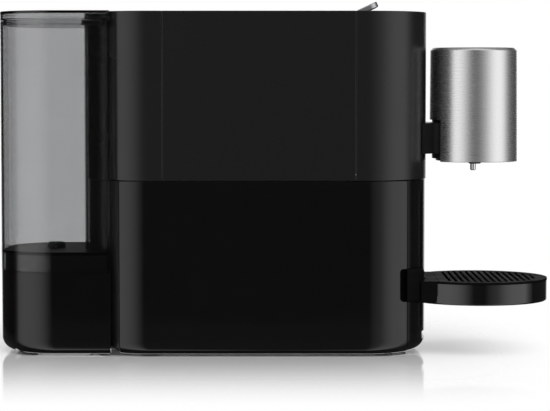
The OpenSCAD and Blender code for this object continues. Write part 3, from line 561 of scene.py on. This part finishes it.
# ---- Brew unit ----
# A brass chamber with a face seal stands on a moulded frame. The piston carries a steel
# piercing plate and slides on two bars, and a chute below drops the used capsule.

brass = machined("turned brass", (0.62, 0.47, 0.2), 0.28, 0.0004)
pierced_steel = machined("pressed steel", (0.6, 0.6, 0.6), 0.25, 0.0004)
nylon = moulded("black nylon", (0.022, 0.022, 0.023), 0.42, 0.0005, 0.00003)
dress(nylon, "brew_frame", "brew_piston", "drop_chute")
dress(brass, "brew_chamber")
dress(soft_rubber, "chamber_seal")
dress(pierced_steel, "piercing_plate")


# ---- Used-capsule drawer ----
# The front of the lower body is the drawer's own glossy face, stiffened by two ribs. It
# has a slot for the tray's tongue and, under it, a shallow finger notch that follows the
# curve. A grey bin and the tray's steel rail stand behind.

FACE_INSET = 0.6
DRAWER_BACK = -105.8
SLOT_HALF = 5
SLOT_LOW = 17.1
SLOT_HIGH = 121.1
NOTCH_HALF = 27
NOTCH_LOW = 10.5
NOTCH_HIGH = 16.5
NOTCH_DEEP = 1.7
RIB_XS = (-32, 30)
RIB_WIDE = 2
RIB_FRONT = -118.6
RIB_BACK = -108
RIB_LOW = 20
RIB_HIGH = 130
face = footed_shell("drawer_front", FACE_INSET, LOWER_FLOOR + 0.4)
trim(face, (0, DRAWER_BACK, 0), (0, 1, 0))
wall_in(face, WALL)
notch_inset = FACE_INSET + NOTCH_DEEP
notch_core = block("notch_core", (-BODY_HALF + notch_inset, BODY_FRONT + notch_inset, 0),
                   (BODY_HALF - notch_inset, BODY_REAR, NOTCH_HIGH + FOOT_EDGE))
round_edges(notch_core, upright, CORNER - notch_inset, 24)
finger_notch = block("finger_notch", (-NOTCH_HALF, BODY_FRONT - 1, NOTCH_LOW),
                     (NOTCH_HALF, BODY_FRONT + 24, NOTCH_HIGH))
carve(finger_notch, notch_core)
tongue_slot = block("tongue_slot", (-SLOT_HALF, BODY_FRONT - 1, SLOT_LOW),
                    (SLOT_HALF, BODY_FRONT + 6, SLOT_HIGH))
carve(face, tongue_slot, finger_notch)
break_edges(face, 0.35, 2)
smooth(face)
for x in RIB_XS:
    rib = block("rib", (x, RIB_FRONT, RIB_LOW), (x + RIB_WIDE, RIB_BACK, RIB_HIGH))
    break_edges(rib, 0.3, 2)
    smooth(rib)
    fuse(face, rib)
fit_out(face, gloss_black, "drawer", "gloss_black", "bin_front")

bin_plastic = moulded("bin plastic", (0.055, 0.055, 0.06), 0.4, 0.0006, 0.00004)
rail_steel = machined("rail steel", (0.5, 0.5, 0.5), 0.35, 0.0006)
dress(bin_plastic, "capsule_bin")
dress(rail_steel, "tray_rail")
dress(nylon, "tray_slider")


# ---- Cup tray ----
# A glossy dish on a collar that wraps the column and slides up and down it. The collar
# steps down to the grid's level in front of the column, where a flat neck joins it to the
# dish, and its top and inner faces have a matt texture.

TRAY_Y = -164.9
TRAY_R = 57.1
TRAY_Z = 39.8
GRID_Z = 56.7
GRID_TOP = 58.3
COLLAR_Z = 42.1
COLLAR_HIGH = 26.4
COLLAR_OUT = 5
COLLAR_WRAP = 17
COLLAR_GAP = 0.4
COLLAR_EDGE = 3
STEP_BACK = 3
CHORD = -131
DISH_WALL = 2.5
NECK_HALF = TRAY_R * 0.78
NECK_LONG = 14.3
GRID_GAP = 0.3


def disc(name, radius, low, high, vertices=160):
    """A round plate on the tray's own axis, between two heights, in millimetres."""
    bpy.ops.object.select_all(action="DESELECT")
    bpy.ops.mesh.primitive_cylinder_add(vertices=vertices, radius=radius / 1000,
                                        depth=(high - low) / 1000,
                                        location=mm(0, TRAY_Y, (low + high) / 2))
    return settle(named(name))


def unite(obj, *others):
    """Melts the other pieces' shapes into this one."""
    for other in others:
        modify(obj, "BOOLEAN", operation="UNION", solver="EXACT", object=other)
        bpy.data.objects.remove(other)


dish = disc("cup_tray", TRAY_R, TRAY_Z, GRID_Z - GRID_GAP)
round_edges(dish, level_at(TRAY_Z), 1.6, 4)
hollow = disc("dish_hollow", TRAY_R - DISH_WALL, TRAY_Z + DISH_WALL, GRID_Z + 5, 128)
trim(hollow, (0, CHORD, 0), (0, 1, 0), fill=True)
round_edges(hollow, level_at(TRAY_Z + DISH_WALL), 2, 4)
body_cut = block("body_cut", (-BODY_HALF - COLLAR_GAP, BODY_FRONT - COLLAR_GAP, 0),
                 (BODY_HALF + COLLAR_GAP, BODY_REAR, BODY_TOP))
round_edges(body_cut, upright, CORNER + COLLAR_GAP, 32)
collar = block("collar", (-BODY_HALF - COLLAR_OUT, BODY_FRONT - COLLAR_OUT, COLLAR_Z),
               (BODY_HALF + COLLAR_OUT, BODY_REAR, COLLAR_Z + COLLAR_HIGH))
round_edges(collar, upright, CORNER + COLLAR_OUT, 32)
round_edges(collar, lambda edge: level_at(COLLAR_Z)(edge)
            or level_at(COLLAR_Z + COLLAR_HIGH)(edge), COLLAR_EDGE, 5)
trim(collar, (0, BODY_FRONT + COLLAR_WRAP, 0), (0, 1, 0), fill=True)
carve(collar, block("collar_step", (-BODY_HALF - 40, BODY_FRONT - COLLAR_OUT - 1, GRID_TOP),
                    (BODY_HALF + 40, BODY_FRONT + STEP_BACK, GRID_TOP + COLLAR_HIGH)))
neck = block("neck", (-NECK_HALF, CHORD + GRID_GAP, COLLAR_Z),
             (NECK_HALF, CHORD + NECK_LONG, GRID_TOP))
unite(dish, collar, neck)
carve(dish, body_cut, hollow)
break_edges(dish, 0.3, 2, 50)
smooth(dish)
tray_black = polished("tray black", GLOSS, 0.08, Specular_IOR_Level=0.75)
fit_out(dish, tray_black, "tray", "gloss_black", "tray_carrier")
tray_texture = moulded("tray texture", (0.005, 0.005, 0.0053), 0.6, 0.0005, 0.00002,
                       Specular_IOR_Level=0.02)
dish.data.materials.append(tray_texture)
for polygon in dish.data.polygons:
    if polygon.normal.z > 0.3 or polygon.center.y > (BODY_FRONT - COLLAR_OUT - 1) / 1000:
        polygon.material_index = 1


# ---- Drip grid ----
# A lift-out cover of the dish, finely textured black, with a round rim, straight slots
# across it and a low skirt that centres it.

SLOT_PITCH = 5
SLOT_WIDE = 2.4
RIM_WIDE = 8
CHORD_RIM = 6
SKIRT = 4
SKIRT_INSET = 3
SKIRT_WALL = 1.5
grid = disc("drip_cover", TRAY_R, GRID_Z, GRID_TOP)
skirt = disc("skirt", TRAY_R - SKIRT_INSET, GRID_Z - SKIRT, GRID_Z + 0.2)
unite(grid, skirt)
carve(grid, disc("skirt_hollow", TRAY_R - SKIRT_INSET - SKIRT_WALL, GRID_Z - SKIRT - 1,
                 GRID_Z, 128))
trim(grid, (0, CHORD, 0), (0, 1, 0), fill=True)
slot_count = int((TRAY_R - 1.5 * RIM_WIDE) / SLOT_PITCH)
for step in range(-slot_count, slot_count + 1):
    y = TRAY_Y + step * SLOT_PITCH
    half = math.sqrt((TRAY_R - RIM_WIDE) ** 2 - (step * SLOT_PITCH) ** 2)
    if y < CHORD - CHORD_RIM:
        cutter = block("slot", (-half, y - SLOT_WIDE / 2, GRID_Z - 1),
                       (half, y + SLOT_WIDE / 2, GRID_TOP + 1))
        round_edges(cutter, upright, SLOT_WIDE / 2 - 0.02, 4)
        carve(grid, cutter)
break_edges(grid, 0.35, 2, 50)
smooth(grid)
fit_out(grid, tray_texture, "grid", "gloss_black", "drip_grid")


# ---- Dispensing head's arm ----
# A black arm flares against the front cover and is held inside by four screws. It is
# hollow for the coffee hose and carries the head's core at its end.

def softened(name, node, width, segments=2, angle=40):
    """A copy of one of the frame's solids, merged, with its sharp edges broken."""
    bpy.ops.object.select_all(action="DESELECT")
    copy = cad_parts[node].copy()
    copy.data = copy.data.copy()
    copy.parent = None
    copy.matrix_world = Matrix.Identity(4)
    bpy.context.scene.collection.objects.link(copy)
    copy.name = copy.data.name = name
    pick(copy, "FACE", lambda face: True)
    bpy.ops.mesh.remove_doubles(threshold=0.000001)
    bpy.ops.mesh.dissolve_limited(angle_limit=math.radians(0.5))
    done()
    break_edges(copy, width, segments, angle)
    smooth(copy)
    return copy


# The arm is black plastic; its tone, darker and duller than the casing's, is partly painted shade
# from the head beside it.
arm_black_shaded = moulded("arm black with painted shade", (0.003, 0.003, 0.0032), 0.3, 0.0005, 0.00001, 0.08,
                    Specular_IOR_Level=0.12)
arm = softened("head_arm_casting", "head_arm", 0.6, 3)
fit_out(arm, arm_black_shaded, "chassis", "satin_black", "head_arm")
dress(zinc_plate, "arm_screws")


# ---- Dispensing head ----
# A drawn stainless steel shell, brushed round its axis, slides down over a black core.
# Its top edge is chamfered round a glossy cap, and its wall is notched for the arm.

HEAD_Y = -161.4
HEAD_R = 35.6
HEAD_Z = 152.8
HEAD_TOP = 244.7
TAPER = 0.6
CHAMFER = 2.4
CAP_R = 31
CAP_DEEP = 2.6
CORE_R = 33.8
ARM_NOTCH_HALF = 21.5
ARM_NOTCH_TOP = 186.5


def turned(name, profile, y, steps=160):
    """A closed outline of (radius, height) points, in millimetres, spun round an upright axis."""
    bpy.ops.object.select_all(action="DESELECT")
    bpy.ops.mesh.primitive_circle_add(vertices=len(profile), radius=0.01, location=(0, 0, 0))
    spun = settle(named(name))
    for corner, (radius, height) in zip(spun.data.vertices, profile):
        corner.co = mm(radius, y, height)
    pick(spun, "EDGE", lambda edge: True)
    bpy.ops.mesh.spin(steps=steps, angle=2 * math.pi, center=mm(0, y, 0), axis=(0, 0, 1))
    bpy.ops.mesh.select_all(action="SELECT")
    bpy.ops.mesh.remove_doubles(threshold=0.000002)
    bpy.ops.mesh.normals_make_consistent(inside=False)
    bpy.ops.mesh.delete_loose(use_verts=True, use_edges=True, use_faces=False)
    done()
    return spun


# The corners of both profiles are eased by a few tenths of a millimetre.
shell_profile = [
    (HEAD_R - 0.3, HEAD_Z), (HEAD_R, HEAD_Z + 0.3),
    (HEAD_R - TAPER, HEAD_TOP - CHAMFER),
    (HEAD_R - TAPER - 0.25, HEAD_TOP - CHAMFER + 0.45),
    (HEAD_R - TAPER - CHAMFER + 0.45, HEAD_TOP - 0.25),
    (HEAD_R - TAPER - CHAMFER, HEAD_TOP), (CAP_R + 0.2, HEAD_TOP), (CAP_R, HEAD_TOP - 0.2),
    (CAP_R, HEAD_TOP - CAP_DEEP), (CORE_R, HEAD_TOP - CAP_DEEP), (CORE_R, HEAD_Z),
]
shell = turned("head_steel_shell", shell_profile, HEAD_Y)
notch = block("arm_notch", (-ARM_NOTCH_HALF, HEAD_Y, HEAD_Z - 1),
              (ARM_NOTCH_HALF, HEAD_Y + HEAD_R + 1, ARM_NOTCH_TOP))
round_edges(notch, lambda edge: (abs(edge.verts[0].co.y - edge.verts[1].co.y) > 0.01
                                 and edge.verts[0].co.z > HEAD_Z / 1000), 2, 5)
carve(shell, notch)
smooth(shell, 25)
brushed_steel, steel_tree, steel_face = brushed(
    "brushed steel", (0.78, 0.78, 0.785), 0.27, (0.02, 0.02, 1), 0.75)
tangent = steel_tree.nodes.new("ShaderNodeTangent")
tangent.direction_type = "RADIAL"
tangent.axis = "Z"
steel_tree.links.new(tangent.outputs["Tangent"], steel_face.inputs["Tangent"])
fit_out(shell, brushed_steel, "chassis", "steel", "head_shell")

core = softened("head_inner_core", "head_core", 0.3)
fit_out(core, nylon, "chassis", "grey_plastic", "head_core")
base = softened("head_underside", "head_base", 0.5, 3)
fit_out(base, satin_black, "chassis", "satin_black", "head_base")

cap_glass = polished("touch cap", (0.006, 0.006, 0.0065), 0.14)
cap_profile = [(0, HEAD_TOP - CAP_DEEP), (CAP_R - 0.3, HEAD_TOP - CAP_DEEP),
               (CAP_R - 0.3, HEAD_TOP - 0.9), (CAP_R - 0.5, HEAD_TOP - 0.5),
               (CAP_R - 1, HEAD_TOP - 0.3), (0, HEAD_TOP - 0.3)]
cap = turned("head_touch_cap", cap_profile, HEAD_Y, 96)
smooth(cap)
fit_out(cap, cap_glass, "chassis", "cap_glass", "head_cap")
dress(powder_coat, "whisk_motor")


# ---- Outlet and whisk spindle ----
# A small black outlet sits in the head's underside, with the chromed spindle that turns
# the whisk in a frothing cup. The spindle has a flat at its tip for the whisk.

chrome, chrome_tree, chrome_face = shader("chrome", (0.72, 0.72, 0.73), 0.06, 1.0)
spread(chrome_tree, grain(chrome_tree, 0.002, 4), chrome_face.inputs["Roughness"], 0.04, 0.12)
spindle = softened("whisk_drive_spindle", "whisk_spindle", 0.2)
fit_out(spindle, chrome, "spindle", "chrome", "whisk_spindle")
outlet = softened("outlet_nozzle", "coffee_outlet", 0.25)
fit_out(outlet, nylon, "chassis", "chrome", "coffee_outlet")


# ---- Hoses ----
# Translucent silicone hoses carry the water from the dock to the pump and block, and the
# coffee through the arm. The coffee's hose is baked in place and hung on no body; in the machine
# it gives as the piston slides.

silicone, silicone_tree, silicone_face = shader("silicone hose", (0.62, 0.6, 0.55), 0.4)
silicone_face.inputs["Subsurface Weight"].default_value = 0.3
silicone_face.inputs["Subsurface Radius"].default_value = (0.002, 0.002, 0.002)
tint(silicone_tree, grain(silicone_tree, 0.01), silicone_face.inputs["Base Color"],
     (0.56, 0.54, 0.49), (0.66, 0.64, 0.6))
for node in ("suction_hose", "pressure_hose"):
    tube = softened(node + "_tube", node, 0.2, 1, 60)
    bpy.ops.object.shade_smooth()
    fit_out(tube, silicone, "chassis", "hose_silicone", node)
coffee_tube = softened("coffee_hose_tube", "coffee_hose", 0.2, 1, 60)
bpy.ops.object.shade_smooth()
coffee_tube.data.materials.clear()
coffee_tube.data.materials.append(silicone)
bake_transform(coffee_tube)
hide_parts("coffee_hose")


# ---- Water tank and lid ----
# A clear smoked tank hugs the rear of the body with two horns and lifts straight off. It
# is one moulding with a deep skirt under its floor, and its lid is of the same plastic.

TANK_FLOOR_Z = 82.4
smoked_clear, smoke_tree, smoke_face = shader("smoked clear", (0.78, 0.785, 0.79), 0.003)
smoke_face.inputs["Transmission Weight"].default_value = 1.0
smoke_face.inputs["IOR"].default_value = 1.49
smoke_drift = grain(smoke_tree, 0.04, 3)
tint(smoke_tree, smoke_drift, smoke_face.inputs["Base Color"],
     (0.77, 0.775, 0.78), (0.79, 0.795, 0.8))
spread(smoke_tree, smoke_drift, smoke_face.inputs["Roughness"], 0.0, 0.006)
smoke_depth = smoke_tree.nodes.new("ShaderNodeVolumeAbsorption")
smoke_depth.inputs["Color"].default_value = (0, 0, 0, 1)
smoke_depth.inputs["Density"].default_value = 125
smoke_tree.links.new(smoke_depth.outputs["Volume"],
                     smoke_tree.nodes["Material Output"].inputs["Volume"])
tank = softened("water_tank", "tank", 0.35, 3)
# The floor's upward faces inside the tank get an opaque, near-black, dull material in place of
# the clear plastic.
tank_floor, floor_tint_tree, floor_tint_face = shader(
    "opaque dark tank floor", (0.02, 0.02, 0.021), 0.5, Specular_IOR_Level=0.05)
tint(floor_tint_tree, grain(floor_tint_tree, 0.02), floor_tint_face.inputs["Base Color"],
     (0.006, 0.006, 0.0065), (0.009, 0.009, 0.0095))
fit_out(tank, smoked_clear, "tank", "smoke_clear", "tank")
tank.data.materials.append(tank_floor)
for polygon in tank.data.polygons:
    if polygon.normal.z > 0.9 and abs(polygon.center.z * 1000 - TANK_FLOOR_Z) < 0.3:
        polygon.material_index = 1
lid = softened("tank_cover", "tank_lid", 0.35, 3)
fit_out(lid, smoked_clear, "lid", "smoke_clear", "tank_lid")


# ---- Tank valve ----
# A sprung plunger with a rubber seal shuts the hole in the tank's floor, under a black
# cage. The dock's spigot pushes it open when the tank is set down.

white_nylon = moulded("white nylon", (0.7, 0.7, 0.68), 0.4, 0.0005, 0.00002, 0.04)
dress(dull_black, "valve_cage")
dress(white_nylon, "valve_plunger")
dress(zinc_plate, "valve_spring")
dress(soft_rubber, "valve_seal")


# ---- Tank dock ----
# A glossy black foot behind the body takes the tank. Its raised plug fills the tank's
# skirt, and the spigot with its seal stands in the plug's middle.

dock_black = polished("dock black", (0.0018, 0.0018, 0.0019), 0.09)
dock = softened("dock_moulding", "tank_dock", 0.5, 3)
fit_out(dock, dock_black, "chassis", "gloss_black", "tank_dock")
dress(nylon, "dock_spigot")
dress(soft_rubber, "spigot_seal", "cord_gland")


# ---- Pump, heater and boards ----
# A vibration pump hangs in rubber mounts, and the cast block above it heats the water.
# The meter counts what is pumped, and two boards drive and time it all.

cast_alloy, cast_tree, cast_face = shader("cast aluminium", (0.55, 0.55, 0.55), 0.5, 1.0)
cast_grain = grain(cast_tree, 0.0008, 4)
spread(cast_tree, cast_grain, cast_face.inputs["Roughness"], 0.42, 0.6)
tint(cast_tree, grain(cast_tree, 0.01), cast_face.inputs["Base Color"],
     (0.46, 0.46, 0.46), (0.58, 0.58, 0.58))
emboss(cast_tree, cast_grain, cast_face, 0.00008)

circuit, circuit_tree, circuit_face = shader("circuit board", (0.01, 0.09, 0.035), 0.35)
track_place = circuit_tree.nodes.new("ShaderNodeTexCoord")
tracks = circuit_tree.nodes.new("ShaderNodeTexBrick")
tracks.inputs["Scale"].default_value = 90
tracks.inputs["Mortar Size"].default_value = 0.05
tracks.inputs["Color1"].default_value = (0.008, 0.08, 0.03, 1)
tracks.inputs["Color2"].default_value = (0.01, 0.1, 0.04, 1)
tracks.inputs["Mortar"].default_value = (0.03, 0.2, 0.08, 1)
board_turn = circuit_tree.nodes.new("ShaderNodeMapping")
board_turn.inputs["Rotation"].default_value = (0, math.pi / 2, 0)
circuit_tree.links.new(track_place.outputs["Object"], board_turn.inputs["Vector"])
circuit_tree.links.new(board_turn.outputs["Vector"], tracks.inputs["Vector"])
circuit_tree.links.new(tracks.outputs["Color"], circuit_face.inputs["Base Color"])

dress(powder_coat, "pump")
dress(soft_rubber, "pump_mounts")
dress(cast_alloy, "thermoblock")
dress(white_nylon, "flow_meter")
dress(circuit, "power_board", "control_board")


# ---- Camera, light and floor ----
# A long lens looks squarely at the side, a little from above. Tall soft boxes stand left
# and right of the camera, with dark flags between and behind them, over a white floor.

CAMERA_AWAY = 1.752
CAMERA_UP = 0.2186
CAMERA_DIP = math.radians(3.34)


def aim(obj, direction):
    """Turns a camera or a lamp to look along a direction."""
    obj.rotation_euler = Vector(direction).to_track_quat("-Z", "Y").to_euler()


bpy.ops.object.camera_add(location=(-CAMERA_AWAY, 0, CAMERA_UP))
camera = bpy.context.object
camera.data.sensor_width = 36
camera.data.lens = 140.7
camera.data.clip_end = 50
aim(camera, (math.cos(CAMERA_DIP), 0, -math.sin(CAMERA_DIP)))
bpy.context.scene.camera = camera

bpy.ops.object.select_all(action="DESELECT")
bpy.ops.mesh.primitive_plane_add(size=3, location=(0, 0, -0.0004))
floor = settle(named("floor"))
white_floor, floor_tree, floor_face = shader("white floor", (0.79, 0.79, 0.79), 0.06)
floor.data.materials.append(white_floor)

# The floor fades to nothing away from the machine's footprint, and sooner fore and aft.
FADE_CENTRE = (0, 0.05, 0)
FADE_HALF = (0.06, 0.172, 0)
FADE_STRETCH = (1, 2.2, 1)
FADE_START = 0.02
FADE_END = 0.27
MIRROR_FADE = 0.9


def plot(operation, source, value=None):
    """One step of working out a spot's place against the footprint."""
    node = floor_tree.nodes.new("ShaderNodeVectorMath")
    node.operation = operation
    floor_tree.links.new(source, node.inputs[0])
    if value is not None:
        node.inputs[1].default_value = value
    return node.outputs["Value" if operation == "LENGTH" else "Vector"]


spot = floor_tree.nodes.new("ShaderNodeTexCoord").outputs["Object"]
from_centre = plot("ABSOLUTE", plot("SUBTRACT", spot, FADE_CENTRE))
outside = plot("MAXIMUM", plot("SUBTRACT", from_centre, FADE_HALF), (0, 0, 0))
reach = plot("LENGTH", plot("MULTIPLY", outside, FADE_STRETCH))
fade_most = floor_tree.nodes.new("ShaderNodeMath")
fade_most.operation = "MAXIMUM"
fade_ramp = spread(floor_tree, reach, fade_most.inputs[0], 0, 1, FADE_START, FADE_END)
fade_ramp.interpolation_type = "SMOOTHSTEP"
fade_ray = floor_tree.nodes.new("ShaderNodeLightPath").outputs["Is Glossy Ray"]
spread(floor_tree, fade_ray, fade_most.inputs[1], 0, MIRROR_FADE, 0, 1)
clear_floor = floor_tree.nodes.new("ShaderNodeBsdfTransparent")
fade_mix = floor_tree.nodes.new("ShaderNodeMixShader")
floor_tree.links.new(fade_most.outputs["Value"], fade_mix.inputs["Fac"])
floor_tree.links.new(floor_face.outputs["BSDF"], fade_mix.inputs[1])
floor_tree.links.new(clear_floor.outputs["BSDF"], fade_mix.inputs[2])
floor_out = floor_tree.nodes["Material Output"]
floor_tree.links.new(fade_mix.outputs["Shader"], floor_out.inputs["Surface"])

bpy.ops.object.light_add(type="AREA", location=(-0.4, -0.2, 1.6))
overhead = bpy.context.object
overhead.name = "overhead"
overhead.data.shape = "RECTANGLE"
overhead.data.size = 1.4
overhead.data.size_y = 1.6
overhead.data.energy = 20
overhead.visible_glossy = False
overhead.visible_transmission = False
aim(overhead, -overhead.location)

bpy.context.scene.view_settings.view_transform = "Standard"
world = bpy.data.worlds.new("studio")
bpy.context.scene.world = world
world.use_nodes = True
sky = world.node_tree
light_path = sky.nodes.new("ShaderNodeLightPath")
direction = sky.nodes.new("ShaderNodeTexCoord")
axes = sky.nodes.new("ShaderNodeSeparateXYZ")
sky.links.new(direction.outputs["Generated"], axes.inputs["Vector"])


def reckon(operation, first, second=None, third=None):
    """One step of working out how bright the studio is in a direction."""
    node = sky.nodes.new("ShaderNodeMath")
    node.operation = operation
    for socket, value in zip(node.inputs, (first, second, third)):
        if isinstance(value, (int, float)):
            socket.default_value = value
        elif value is not None:
            sky.links.new(value, socket)
    return node.outputs["Value"]


bearing = reckon("ARCTAN2", reckon("MULTIPLY", axes.outputs["Y"], -1),
                 reckon("MULTIPLY", axes.outputs["X"], -1))
turn_share = reckon("MULTIPLY_ADD", bearing, 1 / (2 * math.pi), 0.5)
boxes = sky.nodes.new("ShaderNodeValToRGB")
sky.links.new(turn_share, boxes.inputs["Fac"])

# Degrees round the machine from the camera, the right positive, and the brightness there.
BOX_STOPS = [(-180, 0.02), (-100, 0.02), (-91, 0.1), (-82, 0.75), (-70, 0.95), (-50, 1.0),
             (-36, 0.85), (-26, 0.58), (-17, 0.27), (-10, 0.05), (8, 0.04), (17, 0.2),
             (30, 0.36), (42, 0.75), (54, 1.0), (80, 1.0), (89, 0.4), (99, 0.04),
             (180, 0.02)]
stops = boxes.color_ramp.elements
stops.remove(stops[1])
for index, (degrees, level) in enumerate(BOX_STOPS):
    place = (degrees + 180) / 360
    stop = stops[0] if index == 0 else stops.new(place)
    stop.position = place
    stop.color = (level, level, level, 1)
BOX_LEVEL = 1.2
TOP_BOX_LEVEL = 0.25
TOP_BOX_EDGE = 0.6
BACKDROP_EDGE = 0.9
PLAIN_LEVEL = 0.66
backdrop = reckon("GREATER_THAN", axes.outputs["X"], BACKDROP_EDGE)
top_box = reckon("MULTIPLY", reckon("GREATER_THAN", axes.outputs["Z"], TOP_BOX_EDGE),
                 TOP_BOX_LEVEL)
reflected = reckon("MAXIMUM", reckon("MULTIPLY", boxes.outputs["Color"], BOX_LEVEL),
                   reckon("MAXIMUM", backdrop, top_box))
sharp = reckon("MAXIMUM", light_path.outputs["Is Glossy Ray"],
               light_path.outputs["Is Transmission Ray"])
plain = reckon("MULTIPLY", reckon("SUBTRACT", 1, sharp), PLAIN_LEVEL)
mirrored = reckon("MULTIPLY_ADD", reflected, sharp, plain)
strength = reckon("MAXIMUM", mirrored, light_path.outputs["Is Camera Ray"])
sky.links.new(strength, sky.nodes["Background"].inputs["Strength"])
sky.nodes["Background"].inputs["Color"].default_value = (1, 1, 1, 1)
